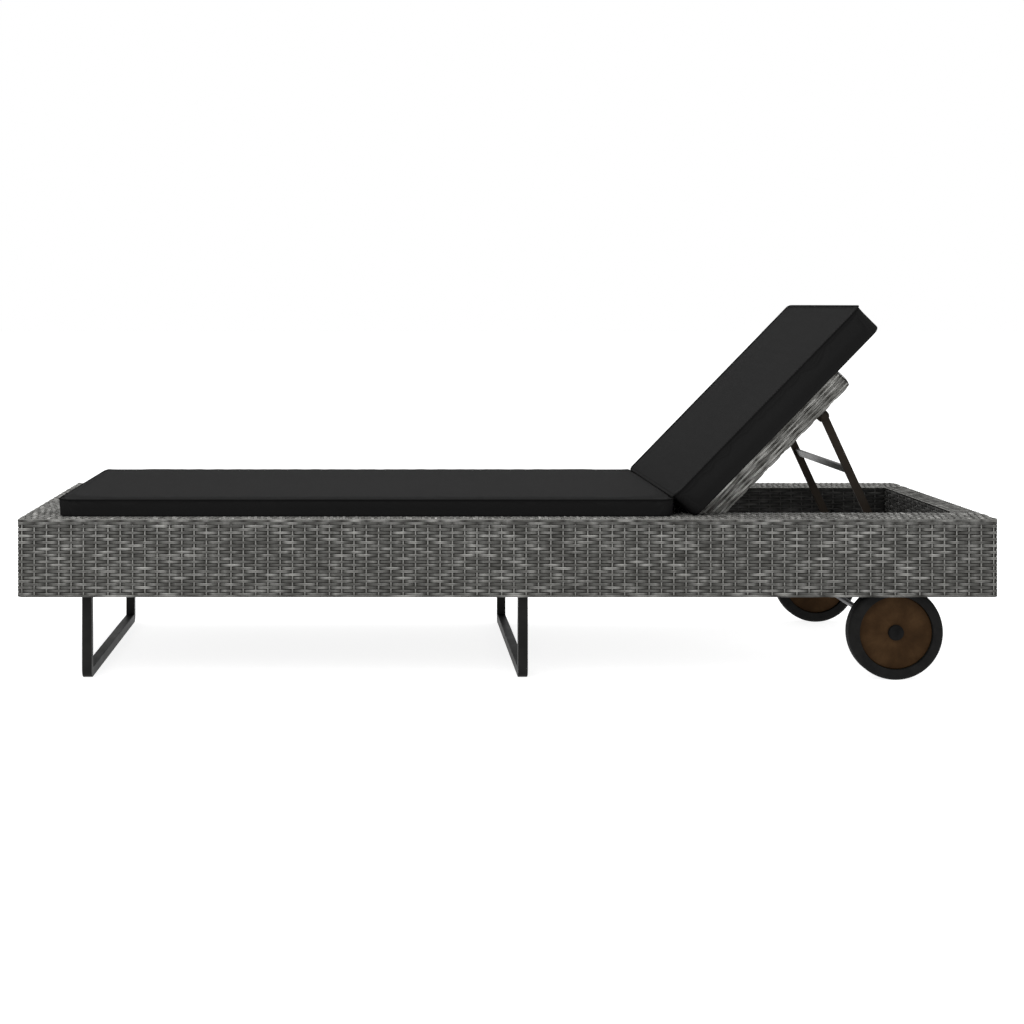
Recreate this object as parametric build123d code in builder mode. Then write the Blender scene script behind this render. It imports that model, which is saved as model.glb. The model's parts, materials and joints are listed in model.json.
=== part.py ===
from build123d import *
import math
import os

# ---------------------------------------------------------------------------
# Reclining sun lounger, millimetres.
# +X points to the head end, +Y to the far side, +Z up.
# The origin is on the ground under the middle of the frame.
# ---------------------------------------------------------------------------

# Woven box frame
LENGTH = 2000.0
WIDTH = 660.0
RIM_TOP = 332.0
SKIRT_HEIGHT = 158.0
SKIN = 4.0
SIDE_RIM = 95.0
HEAD_RIM = 50.0
FOOT_RIM = 95.0
CORNER_RADIUS = 6.0
WELL_START = 372.0

# Steel tube inside the weave
TUBE = 20.0
TUBE_WALL = 1.5
TUBE_CORNER = 2.0
STRIP = 3.0
RIB_STATIONS = (-960.0, -700.0, -430.0, -160.0, 180.0, 420.0, 640.0, 930.0)
BEARER_STATIONS = (-780.0, -560.0, -340.0, -120.0, 130.0, 355.0)
END_RIB_STATIONS = (-160.0, 0.0, 160.0)

# Sled legs
LEG_STATIONS = {"foot": -865.0, "middle": 34.0}
LEG_HALF_WIDTH = 300.0
LEG_BEND = 18.0
LEG_EDGE = 1.2
LEG_PLATE = 60.0
LEG_PLATE_THICK = 4.0
PLUG_LENGTH = 22.0
BOLT_RADIUS = 4.0
BOLT_LENGTH = 20.0
BOLT_HEAD_RADIUS = 6.5
BOLT_HEAD_HEIGHT = 5.0

# Wheels and axle
WHEEL_X = 798.0
WHEEL_RADIUS = 97.5
TYRE_INNER = 75.5
TYRE_WIDTH = 35.0
TYRE_ROUND = 9.0
TYRE_FACE = 318.0
DISC_THICK = 22.0
HUB_RADIUS = 16.0
HUB_FLANGE = 3.0
CAP_RADIUS = 15.2
CAP_HEIGHT = 7.0
CAP_RIM = 2.4
AXLE_RADIUS = 6.0
AXLE_END = 311.0
AXLE_WASHER_RADIUS = 11.0
AXLE_BRACKET_WIDTH = 40.0
AXLE_BRACKET_THICK = 4.0

# Backrest
RECLINE = 45.8
HINGE_X = 405.0
HINGE_Z = 310.0
PANEL_START = -18.0
PANEL_END = 437.0
PANEL_WIDTH = 450.0
PANEL_TOP = 22.5
PANEL_BOTTOM = -28.5
PANEL_SKIN = 3.5
PANEL_CORNER = 8.0
BACK_CROSS_STATIONS = (30.0, 230.0, 417.0)
HINGE_PIN_RADIUS = 5.0
BUSH_RADIUS = 8.0
HINGE_PLATE = 40.0
HINGE_PLATE_THICK = 4.0

# Folding prop and its racks
PIVOT_ALONG = 351.8
PIVOT_BELOW = 40.5
PROP_LENGTH = 326.5
PROP_ANGLE = 65.4
STRUT_WIDTH = 17.0
STRUT_THICK = 6.0
STRUT_OUTER = 210.0
CROSS_BAR_AT = 124.6
CROSS_BAR_WIDTH = 18.0
CROSS_BAR_THICK = 5.0
FOOT_BAR_RADIUS = 6.0
FOOT_BAR_END = 233.0
PROP_PIN_RADIUS = 4.0
PROP_PIN_HEAD = 7.0
EAR_THICK = 5.0
EAR_WIDTH = 26.0
RACK_THICK = 8.0
RACK_BELOW = 18.0
RACK_ABOVE = 12.0
RACK_MARGIN = 25.0
RACK_ANGLES = (45.8, 43.2, 40.6, 38.2)
SCREW_RADIUS = 3.0
SCREW_HEAD_RADIUS = 5.5
SCREW_HEAD = 2.5
STOP_X = 831.0
STOP_WIDTH = 22.0
STOP_REACH = 24.0
STOP_THICK = 4.0
STOP_DROP = 20.0

# Cushions
SEAT_START = -921.0
SEAT_END = 339.5
CUSHION_WIDTH = 580.0
SEAT_THICK = 38.5
BACK_CUSHION_START = 6.0
BACK_CUSHION_LENGTH = 546.0
BACK_CUSHION_THICK = 62.5
CUSHION_ROUND = 9.0

# Clearances
RUNNING = 0.05
SEATED = 0.02
SOFT_GAP = 0.3
REST_GAP = 0.5

# Values worked out from the driving dimensions
HALF_LENGTH = LENGTH / 2
HALF_WIDTH = WIDTH / 2
SKIRT_BOTTOM = RIM_TOP - SKIRT_HEIGHT
INNER_WALL = HALF_WIDTH - SIDE_RIM
RAIL_TOP = RIM_TOP - SKIN
RAIL_Z = RAIL_TOP - TUBE / 2
RAIL_UNDER = RAIL_TOP - TUBE
LOW_RAIL_Z = SKIRT_BOTTOM + SKIN + TUBE / 2
LOW_RAIL_TOP = LOW_RAIL_Z + TUBE / 2
OUTER_RAIL_Y = HALF_WIDTH - SKIN - TUBE / 2
INNER_RAIL_Y = INNER_WALL + SKIN + TUBE / 2
RAIL_END = HALF_LENGTH - SKIN
LEG_TOP = RAIL_UNDER - LEG_PLATE_THICK
PANEL_HALF = PANEL_WIDTH / 2
SIDES = {"near": -1.0, "far": 1.0}
HINGE = Vector(HINGE_X, 0, HINGE_Z)


def direction(degrees):
    """Unit vector in the XZ plane, measured from +X towards +Z."""
    angle = math.radians(degrees)
    return Vector(math.cos(angle), 0, math.sin(angle))


def pivot_at(recline):
    """Prop pivot when the backrest stands at this angle."""
    along = direction(recline)
    normal = direction(recline + 90)
    return HINGE + along * PIVOT_ALONG - normal * PIVOT_BELOW


PIVOT = pivot_at(RECLINE)
PROP_FOOT = PIVOT + direction(-PROP_ANGLE) * PROP_LENGTH


def notch_x(recline):
    """Place along the rack where the prop's foot stands for this angle."""
    pivot = pivot_at(recline)
    drop = pivot.Z - PROP_FOOT.Z
    return pivot.X + math.sqrt(PROP_LENGTH ** 2 - drop ** 2)


def panel_plane(height=0.0):
    """Plane parallel to the backrest: x along it, y across, z its normal."""
    normal = direction(RECLINE + 90)
    return Plane(origin=HINGE + normal * height, x_dir=direction(RECLINE), z_dir=normal)


def panel_side(y):
    """Upright plane at y: x along the backrest, y its normal, z towards -Y."""
    return Plane(origin=(HINGE_X, y, HINGE_Z), x_dir=direction(RECLINE), z_dir=(0, -1, 0))


def prop_side(y):
    """Upright plane at y: x runs down the prop from its pivot, z towards -Y."""
    return Plane(origin=(PIVOT.X, y, PIVOT.Z), x_dir=direction(-PROP_ANGLE), z_dir=(0, -1, 0))


def upright(y):
    """Upright plane at y with x and y along the row's X and Z."""
    return Plane(origin=(0, y, 0), x_dir=(1, 0, 0), z_dir=(0, -1, 0))


def write(piece, name):
    """Label a finished piece and write its STEP file."""
    piece.part.label = name
    export_step(piece.part, f"parts/{name}.step")


def tube_section(width=TUBE, height=TUBE):
    """Hollow rectangular tube section with rounded outer corners."""
    RectangleRounded(width, height, TUBE_CORNER)
    Rectangle(width - 2 * TUBE_WALL, height - 2 * TUBE_WALL, mode=Mode.SUBTRACT)


def block(x_span, y_span, z_span):
    """Rectangular solid between the given limits, added to the open part."""
    spans = (x_span, y_span, z_span)
    centre = tuple((low + high) / 2 for low, high in spans)
    with Locations(centre):
        Box(*(high - low for low, high in spans))


def u_outline(half_width, top, bottom, bend, mode=Mode.ADD):
    """Upright rectangle whose two lower corners are rounded."""
    with BuildSketch(mode=Mode.PRIVATE) as outline:
        with Locations((0, (top + bottom) / 2)):
            Rectangle(2 * half_width, top - bottom)
        fillet(outline.vertices().group_by(Axis.Y)[0], bend)
    add(outline.sketch, mode=mode)


def across(side, inner, outer):
    """Span of Y between two distances from the middle, on one side."""
    return tuple(sorted((side * inner, side * outer)))


os.makedirs("parts", exist_ok=True)

# ---------------------------------------------------------------------------
# Woven skins
# ---------------------------------------------------------------------------

RACK_X = [notch_x(angle) for angle in RACK_ANGLES]
RACK_START = min(RACK_X) - RACK_MARGIN
RACK_STOP = max(RACK_X) + RACK_MARGIN
RACK_SCREW_X = (RACK_START + RACK_MARGIN / 3, RACK_STOP - RACK_MARGIN / 3)

for side_name, side in SIDES.items():
    with BuildPart() as side_skin:
        with BuildSketch(Plane.XY.offset(SKIRT_BOTTOM)):
            with Locations((0, side * (HALF_WIDTH - SIDE_RIM / 2))):
                Rectangle(LENGTH, SIDE_RIM)
        extrude(amount=SKIRT_HEIGHT)
        uprights = side_skin.edges().filter_by(Axis.Z).sort_by(Axis.Y)
        corners = uprights[:2] if side < 0 else uprights[-2:]
        fillet(corners, CORNER_RADIUS)
        with BuildSketch(Plane.XY.offset(SKIRT_BOTTOM)):
            with Locations((0, side * (HALF_WIDTH - SIDE_RIM / 2))):
                Rectangle(LENGTH - 2 * SKIN, SIDE_RIM - 2 * SKIN)
            open_length = WELL_START - SKIN + RAIL_END
            with Locations((WELL_START - SKIN - open_length / 2, side * (INNER_WALL + SKIN / 2))):
                Rectangle(open_length, SKIN)
        extrude(amount=SKIRT_HEIGHT - SKIN, mode=Mode.SUBTRACT)
        with BuildSketch(upright(side * (INNER_WALL + SKIN / 2))):
            with Locations(*[(x, PROP_FOOT.Z) for x in RACK_SCREW_X]):
                Circle(SCREW_RADIUS + SEATED)
        extrude(amount=SKIN / 2, both=True, mode=Mode.SUBTRACT)
    write(side_skin, f"side_skin_{side_name}")

with BuildPart() as head_skin:
    block((HALF_LENGTH - HEAD_RIM, HALF_LENGTH), (-INNER_WALL, INNER_WALL), (SKIRT_BOTTOM, RIM_TOP))
    with BuildSketch(Plane.XY.offset(SKIRT_BOTTOM)):
        with Locations((HALF_LENGTH - HEAD_RIM / 2, 0)):
            Rectangle(HEAD_RIM - 2 * SKIN, 2 * INNER_WALL)
    extrude(amount=SKIRT_HEIGHT - SKIN, mode=Mode.SUBTRACT)
write(head_skin, "head_skin")

with BuildPart() as foot_skin:
    block((-HALF_LENGTH, -HALF_LENGTH + SKIN), (-INNER_WALL, INNER_WALL), (SKIRT_BOTTOM, RIM_TOP))
    block((-HALF_LENGTH, -HALF_LENGTH + FOOT_RIM), (-INNER_WALL, INNER_WALL), (RAIL_TOP, RIM_TOP))
write(foot_skin, "foot_skin")

with BuildPart() as deck_panel:
    block((-HALF_LENGTH + FOOT_RIM, WELL_START), (-INNER_WALL, INNER_WALL), (RAIL_TOP, RIM_TOP))
    block((WELL_START - SKIN, WELL_START), (-INNER_WALL, INNER_WALL), (RAIL_UNDER, RIM_TOP))
write(deck_panel, "deck_panel")

# ---------------------------------------------------------------------------
# Steel frame inside the weave
# ---------------------------------------------------------------------------

for side_name, side in SIDES.items():
    with BuildPart() as top_outer_rail:
        with BuildSketch(Plane.YZ.offset(-RAIL_END)):
            with Locations((side * OUTER_RAIL_Y, RAIL_Z)):
                tube_section()
        extrude(amount=2 * RAIL_END)
    write(top_outer_rail, f"top_outer_rail_{side_name}")

    with BuildPart() as top_inner_rail:
        with BuildSketch(Plane.YZ.offset(-RAIL_END)):
            with Locations((side * INNER_RAIL_Y, RAIL_Z)):
                tube_section()
        extrude(amount=2 * RAIL_END)
    write(top_inner_rail, f"top_inner_rail_{side_name}")

    with BuildPart() as low_rail:
        with BuildSketch(Plane.YZ.offset(WELL_START)):
            with Locations((side * INNER_RAIL_Y, LOW_RAIL_Z)):
                tube_section()
        extrude(amount=RAIL_END - WELL_START)
        with BuildSketch(upright(side * INNER_RAIL_Y)):
            with Locations(*[(WHEEL_X + dx, LOW_RAIL_Z) for dx in (-TUBE / 2, TUBE / 2)]):
                Circle(SCREW_RADIUS + SEATED)
        extrude(amount=-side * TUBE, mode=Mode.SUBTRACT)
    write(low_rail, f"low_rail_{side_name}")

    with BuildPart() as ribs:
        for x in RIB_STATIONS:
            span = (x - TUBE / 2, x + TUBE / 2)
            drop = across(side, HALF_WIDTH - SKIN - STRIP, HALF_WIDTH - SKIN)
            block(span, drop, (LOW_RAIL_TOP, RAIL_UNDER))
            tie = across(side, INNER_RAIL_Y + TUBE / 2, OUTER_RAIL_Y - TUBE / 2)
            block(span, tie, (RAIL_UNDER, RAIL_UNDER + STRIP))
            if x > WELL_START:
                inner = across(side, INNER_WALL + SKIN, INNER_WALL + SKIN + STRIP)
                block(span, inner, (LOW_RAIL_TOP, RAIL_UNDER))
    write(ribs, f"side_ribs_{side_name}")

with BuildPart() as hem_strips:
    for side in SIDES.values():
        strip_y = across(side, HALF_WIDTH - SKIN - STRIP, HALF_WIDTH - SKIN)
        block((-RAIL_END, RAIL_END), strip_y, (SKIRT_BOTTOM + SKIN, LOW_RAIL_TOP))
write(hem_strips, "hem_strips")

for end_name, end, reach in (("foot", -1.0, INNER_WALL + SKIN), ("head", 1.0, INNER_WALL)):
    with BuildPart() as end_rail:
        with BuildSketch(upright(reach)):
            with Locations((end * (RAIL_END - TUBE / 2), RAIL_Z)):
                tube_section()
        extrude(amount=2 * reach)
    write(end_rail, f"{end_name}_end_rail")

    with BuildPart() as end_strip:
        strip_x = tuple(sorted((end * (RAIL_END - STRIP), end * RAIL_END)))
        block(strip_x, (-INNER_WALL, INNER_WALL), (SKIRT_BOTTOM + SKIN, LOW_RAIL_TOP))
        for y in END_RIB_STATIONS:
            block(strip_x, (y - TUBE / 2, y + TUBE / 2), (LOW_RAIL_TOP, RAIL_UNDER))
    write(end_strip, f"{end_name}_end_strip")

with BuildPart() as well_rail:
    with BuildSketch(upright(INNER_WALL)):
        with Locations((HALF_LENGTH - HEAD_RIM + SKIN + TUBE / 2, LOW_RAIL_Z)):
            tube_section()
    extrude(amount=2 * INNER_WALL)
write(well_rail, "well_rail")

with BuildPart() as deck_bearers:
    with BuildSketch(upright(INNER_WALL + SKIN)):
        for x in BEARER_STATIONS:
            with Locations((x, RAIL_Z)):
                tube_section()
    extrude(amount=2 * (INNER_WALL + SKIN))
write(deck_bearers, "deck_bearers")

# ---------------------------------------------------------------------------
# Sled legs, their plates, plugs and bolts
# ---------------------------------------------------------------------------

for leg_name, leg_x in LEG_STATIONS.items():
    with BuildPart() as leg:
        with BuildSketch(Plane.YZ.offset(leg_x - TUBE / 2)):
            u_outline(LEG_HALF_WIDTH, LEG_TOP, 0.0, LEG_BEND)
            u_outline(LEG_HALF_WIDTH - TUBE, LEG_TOP, TUBE, TUBE_CORNER, Mode.SUBTRACT)
        extrude(amount=TUBE)
        flanks = leg.faces().filter_by(Axis.X).edges()
        fillet(flanks.filter_by(lambda edge: edge.center().Z < LEG_TOP - TUBE_WALL), LEG_EDGE)
        bore = TUBE - 2 * TUBE_WALL
        with BuildSketch(Plane.YZ.offset(leg_x - bore / 2)):
            u_outline(LEG_HALF_WIDTH - TUBE_WALL, LEG_TOP, TUBE_WALL, LEG_BEND - TUBE_WALL)
            inside = LEG_HALF_WIDTH - TUBE + TUBE_WALL
            u_outline(inside, LEG_TOP, TUBE - TUBE_WALL, TUBE_CORNER, Mode.SUBTRACT)
        extrude(amount=bore, mode=Mode.SUBTRACT)
    write(leg, f"leg_{leg_name}")

post_places = [(x, s * (LEG_HALF_WIDTH - TUBE / 2)) for x in LEG_STATIONS.values() for s in (-1, 1)]

with BuildPart() as leg_plates:
    for side in SIDES.values():
        for leg_x in LEG_STATIONS.values():
            plate_y = across(side, INNER_WALL + SKIN, HALF_WIDTH - SKIN)
            block((leg_x - LEG_PLATE / 2, leg_x + LEG_PLATE / 2), plate_y, (LEG_TOP, RAIL_UNDER))
    with BuildSketch(Plane.XY.offset(LEG_TOP)):
        with Locations(*post_places):
            Circle(BOLT_RADIUS + RUNNING)
    extrude(amount=LEG_PLATE_THICK, mode=Mode.SUBTRACT)
write(leg_plates, "leg_plates")

with BuildPart() as leg_plugs:
    with BuildSketch(Plane.XY.offset(LEG_TOP - PLUG_LENGTH)):
        with Locations(*post_places):
            Rectangle(TUBE - 2 * TUBE_WALL - SEATED, TUBE - 2 * TUBE_WALL - SEATED)
        with Locations(*post_places):
            Circle(BOLT_RADIUS + SEATED, mode=Mode.SUBTRACT)
    extrude(amount=PLUG_LENGTH)
write(leg_plugs, "leg_plugs")

with BuildPart() as leg_bolts:
    with BuildSketch(Plane.XY.offset(RAIL_UNDER)):
        with Locations(*post_places):
            RegularPolygon(BOLT_HEAD_RADIUS, 6)
    extrude(amount=BOLT_HEAD_HEIGHT)
    with BuildSketch(Plane.XY.offset(RAIL_UNDER)):
        with Locations(*post_places):
            Circle(BOLT_RADIUS)
    extrude(amount=-BOLT_LENGTH)
write(leg_bolts, "leg_bolts")

# ---------------------------------------------------------------------------
# Axle, its brackets and the two wheels
# ---------------------------------------------------------------------------

AXLE_LINE = Axis((WHEEL_X, 0, WHEEL_RADIUS), (0, 1, 0))
BRACKET_Y = INNER_RAIL_Y + TUBE / 2
HUB_INNER = TYRE_FACE - TYRE_WIDTH - HUB_FLANGE
HUB_OUTER = AXLE_END + HUB_FLANGE
BRACKET_SCREW_X = (WHEEL_X - TUBE / 2, WHEEL_X + TUBE / 2)
DOME = CAP_HEIGHT - CAP_RIM
DOME_RADIUS = (CAP_RADIUS ** 2 + DOME ** 2) / (2 * DOME)
DOME_DROP = DOME_RADIUS - math.sqrt(DOME_RADIUS ** 2 - (CAP_RADIUS / 2) ** 2)

with BuildPart() as axle:
    with BuildSketch(upright(AXLE_END)):
        with Locations((WHEEL_X, WHEEL_RADIUS)):
            Circle(AXLE_RADIUS)
    extrude(amount=2 * AXLE_END)
write(axle, "axle")

for side_name, side in SIDES.items():
    with BuildPart() as axle_bracket:
        with BuildSketch(upright(side * BRACKET_Y)):
            with Locations((WHEEL_X, (WHEEL_RADIUS + LOW_RAIL_TOP) / 2)):
                Rectangle(AXLE_BRACKET_WIDTH, LOW_RAIL_TOP - WHEEL_RADIUS)
            with Locations((WHEEL_X, WHEEL_RADIUS)):
                Circle(AXLE_BRACKET_WIDTH / 2)
                Circle(AXLE_RADIUS + SEATED, mode=Mode.SUBTRACT)
            with Locations(*[(x, LOW_RAIL_Z) for x in BRACKET_SCREW_X]):
                Circle(SCREW_RADIUS + SEATED, mode=Mode.SUBTRACT)
        extrude(amount=-side * AXLE_BRACKET_THICK)
    write(axle_bracket, f"axle_bracket_{side_name}")

    with BuildPart() as tyre:
        with BuildSketch(Plane.YZ.offset(WHEEL_X)):
            middle = side * (TYRE_FACE - TYRE_WIDTH / 2)
            with Locations((middle, WHEEL_RADIUS + (TYRE_INNER + WHEEL_RADIUS) / 2)):
                Rectangle(TYRE_WIDTH, WHEEL_RADIUS - TYRE_INNER)
            fillet(vertices().group_by(Axis.Y)[-1], TYRE_ROUND)
        revolve(axis=AXLE_LINE)
    write(tyre, f"tyre_{side_name}")

    with BuildPart() as wheel_disc:
        with BuildSketch(Plane.YZ.offset(WHEEL_X)):
            middle = side * (TYRE_FACE - TYRE_WIDTH / 2)
            with Locations((middle, WHEEL_RADIUS + (HUB_RADIUS + TYRE_INNER) / 2)):
                Rectangle(DISC_THICK, TYRE_INNER - HUB_RADIUS)
            chamfer(vertices().group_by(Axis.Y)[-1], TUBE_CORNER)
        revolve(axis=AXLE_LINE)
    write(wheel_disc, f"wheel_disc_{side_name}")

    with BuildPart() as hub:
        with BuildSketch(upright(side * HUB_INNER)):
            with Locations((WHEEL_X, WHEEL_RADIUS)):
                Circle(HUB_RADIUS)
                Circle(AXLE_RADIUS + RUNNING, mode=Mode.SUBTRACT)
        extrude(amount=-side * (HUB_OUTER - HUB_INNER))
        with BuildSketch(upright(side * (AXLE_END - HUB_FLANGE - REST_GAP))):
            with Locations((WHEEL_X, WHEEL_RADIUS)):
                Circle(AXLE_WASHER_RADIUS + REST_GAP)
        extrude(amount=-side * (2 * HUB_FLANGE + REST_GAP), mode=Mode.SUBTRACT)
    write(hub, f"hub_{side_name}")

    with BuildPart() as hub_cap:
        with BuildSketch(Plane.YZ.offset(WHEEL_X)):
            with BuildLine():
                base = side * HUB_OUTER
                rim = side * (HUB_OUTER + CAP_RIM)
                crown = side * (HUB_OUTER + CAP_HEIGHT)
                shoulder = (side * (HUB_OUTER + CAP_HEIGHT - DOME_DROP), WHEEL_RADIUS + CAP_RADIUS / 2)
                Line((base, WHEEL_RADIUS), (base, WHEEL_RADIUS + CAP_RADIUS))
                Line((base, WHEEL_RADIUS + CAP_RADIUS), (rim, WHEEL_RADIUS + CAP_RADIUS))
                ThreePointArc((rim, WHEEL_RADIUS + CAP_RADIUS), shoulder, (crown, WHEEL_RADIUS))
                Line((crown, WHEEL_RADIUS), (base, WHEEL_RADIUS))
            make_face()
        revolve(axis=AXLE_LINE)
    write(hub_cap, f"hub_cap_{side_name}")

with BuildPart() as axle_washers:
    for side in SIDES.values():
        with BuildSketch(upright(side * (AXLE_END - HUB_FLANGE))):
            with Locations((WHEEL_X, WHEEL_RADIUS)):
                Circle(AXLE_WASHER_RADIUS)
                Circle(AXLE_RADIUS + SEATED, mode=Mode.SUBTRACT)
        extrude(amount=-side * HUB_FLANGE)
write(axle_washers, "axle_washers")

with BuildPart() as axle_spacers:
    for side in SIDES.values():
        start = BRACKET_Y + AXLE_BRACKET_THICK
        with BuildSketch(upright(side * start)):
            with Locations((WHEEL_X, WHEEL_RADIUS)):
                Circle(AXLE_WASHER_RADIUS)
                Circle(AXLE_RADIUS + SEATED, mode=Mode.SUBTRACT)
        extrude(amount=-side * (HUB_INNER - REST_GAP - start))
write(axle_spacers, "axle_spacers")

with BuildPart() as bracket_screws:
    for side in SIDES.values():
        outer = side * (BRACKET_Y + AXLE_BRACKET_THICK)
        with BuildSketch(upright(outer)):
            with Locations(*[(x, LOW_RAIL_Z) for x in BRACKET_SCREW_X]):
                Circle(SCREW_HEAD_RADIUS)
        extrude(amount=-side * SCREW_HEAD)
        with BuildSketch(upright(outer)):
            with Locations(*[(x, LOW_RAIL_Z) for x in BRACKET_SCREW_X]):
                Circle(SCREW_RADIUS)
        extrude(amount=side * (AXLE_BRACKET_THICK + TUBE / 2))
write(bracket_screws, "bracket_screws")

# ---------------------------------------------------------------------------
# Backrest hinges on the frame
# ---------------------------------------------------------------------------

for side_name, side in SIDES.items():
    with BuildPart() as hinge_pin:
        with BuildSketch(upright(side * INNER_WALL)):
            with Locations((HINGE_X, HINGE_Z)):
                Circle(HINGE_PIN_RADIUS)
        extrude(amount=side * (INNER_WALL - PANEL_HALF + TUBE))
        collar = PANEL_HALF + 2 * REST_GAP
        with BuildSketch(upright(side * (INNER_WALL - HINGE_PLATE_THICK))):
            with Locations((HINGE_X, HINGE_Z)):
                Circle(BUSH_RADIUS)
        extrude(amount=side * (INNER_WALL - HINGE_PLATE_THICK - collar))
    write(hinge_pin, f"hinge_pin_{side_name}")

    with BuildPart() as rack:
        with BuildSketch(upright(side * INNER_WALL)):
            length = RACK_STOP - RACK_START
            height = RACK_BELOW + RACK_ABOVE
            middle_z = PROP_FOOT.Z + (RACK_ABOVE - RACK_BELOW) / 2
            with Locations(((RACK_START + RACK_STOP) / 2, middle_z)):
                RectangleRounded(length, height, TUBE_CORNER)
            notch = 2 * (FOOT_BAR_RADIUS + SOFT_GAP)
            with Locations(*[(x, PROP_FOOT.Z) for x in RACK_X]):
                Circle(notch / 2, mode=Mode.SUBTRACT)
            with Locations(*[(x, PROP_FOOT.Z + RACK_ABOVE / 2) for x in RACK_X]):
                Rectangle(notch, RACK_ABOVE, mode=Mode.SUBTRACT)
            with Locations(*[(x, PROP_FOOT.Z) for x in RACK_SCREW_X]):
                Circle(SCREW_RADIUS + SEATED, mode=Mode.SUBTRACT)
        extrude(amount=side * RACK_THICK)
    write(rack, f"rack_{side_name}")

with BuildPart() as hinge_plates:
    for side in SIDES.values():
        with BuildSketch(upright(side * INNER_WALL)):
            with Locations((HINGE_X, HINGE_Z)):
                RectangleRounded(HINGE_PLATE, HINGE_PLATE, 2 * TUBE_CORNER)
                Circle(HINGE_PIN_RADIUS + SEATED, mode=Mode.SUBTRACT)
        extrude(amount=side * HINGE_PLATE_THICK)
write(hinge_plates, "hinge_plates")

with BuildPart() as panel_stops:
    stop_x = (STOP_X - STOP_WIDTH / 2, STOP_X + STOP_WIDTH / 2)
    ledge = HINGE_Z + PANEL_BOTTOM - REST_GAP
    for side in SIDES.values():
        block(stop_x, across(side, INNER_WALL - STOP_REACH, INNER_WALL), (ledge - STOP_THICK, ledge))
        block(stop_x, across(side, INNER_WALL - STRIP, INNER_WALL), (ledge - STOP_DROP, ledge))
write(panel_stops, "panel_stops")

with BuildPart() as rack_screws:
    for side in SIDES.values():
        with BuildSketch(upright(side * (INNER_WALL + SKIN))):
            with Locations(*[(x, PROP_FOOT.Z) for x in RACK_SCREW_X]):
                Circle(SCREW_RADIUS)
        extrude(amount=side * (SKIN + RACK_THICK))
        with BuildSketch(upright(side * (INNER_WALL - RACK_THICK))):
            with Locations(*[(x, PROP_FOOT.Z) for x in RACK_SCREW_X]):
                Circle(SCREW_HEAD_RADIUS)
        extrude(amount=side * SCREW_HEAD)
write(rack_screws, "rack_screws")

# ---------------------------------------------------------------------------
# Backrest panel
# ---------------------------------------------------------------------------

PANEL_MIDDLE = (PANEL_START + PANEL_END) / 2
PANEL_LENGTH = PANEL_END - PANEL_START
PANEL_THICK = PANEL_TOP - PANEL_BOTTOM
CORE_THICK = PANEL_THICK - 2 * PANEL_SKIN
CORE_MIDDLE = (PANEL_TOP + PANEL_BOTTOM) / 2
CORE_HALF = PANEL_HALF - PANEL_SKIN
CORE_LENGTH = PANEL_LENGTH - 2 * PANEL_SKIN

with BuildPart() as back_skin:
    with BuildSketch(panel_side(PANEL_HALF)):
        with Locations((PANEL_MIDDLE, CORE_MIDDLE)):
            RectangleRounded(PANEL_LENGTH, PANEL_THICK, PANEL_CORNER)
    extrude(amount=PANEL_WIDTH)
    with BuildSketch(panel_side(CORE_HALF)):
        with Locations((PANEL_MIDDLE, CORE_MIDDLE)):
            RectangleRounded(CORE_LENGTH, CORE_THICK, PANEL_CORNER - PANEL_SKIN)
    extrude(amount=2 * CORE_HALF, mode=Mode.SUBTRACT)
    with BuildSketch(panel_side(PANEL_HALF)):
        Circle(BUSH_RADIUS + SEATED)
    extrude(amount=PANEL_WIDTH, mode=Mode.SUBTRACT)
write(back_skin, "back_skin")

TUBE_PLANE = Plane(
    origin=HINGE + direction(RECLINE) * (PANEL_START + PANEL_CORNER),
    x_dir=(0, 1, 0),
    z_dir=direction(RECLINE),
)

for side_name, side in SIDES.items():
    with BuildPart() as back_tube:
        with BuildSketch(TUBE_PLANE):
            with Locations((side * (CORE_HALF - TUBE / 2), CORE_MIDDLE)):
                tube_section(TUBE, CORE_THICK)
        extrude(amount=PANEL_LENGTH - 2 * PANEL_CORNER)
        with BuildSketch(panel_side(side * CORE_HALF)):
            Circle(BUSH_RADIUS + SEATED)
        extrude(amount=side * TUBE, mode=Mode.SUBTRACT)
    write(back_tube, f"back_tube_{side_name}")

with BuildPart() as hinge_bushes:
    for side in SIDES.values():
        with BuildSketch(panel_side(side * (PANEL_HALF + REST_GAP))):
            Circle(BUSH_RADIUS)
            Circle(HINGE_PIN_RADIUS + RUNNING, mode=Mode.SUBTRACT)
        extrude(amount=side * (TUBE + PANEL_SKIN + REST_GAP))
write(hinge_bushes, "hinge_bushes")

with BuildPart() as back_cross_tubes:
    with BuildSketch(panel_side(CORE_HALF - TUBE)):
        for station in BACK_CROSS_STATIONS:
            with Locations((station, CORE_MIDDLE)):
                tube_section(TUBE, CORE_THICK)
    extrude(amount=2 * (CORE_HALF - TUBE))
write(back_cross_tubes, "back_cross_tubes")

# ---------------------------------------------------------------------------
# Folding prop under the backrest
# ---------------------------------------------------------------------------

EAR_OUTER = STRUT_OUTER - STRUT_THICK - 2 * REST_GAP
EAR_REACH = PIVOT_BELOW + PANEL_BOTTOM

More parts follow.
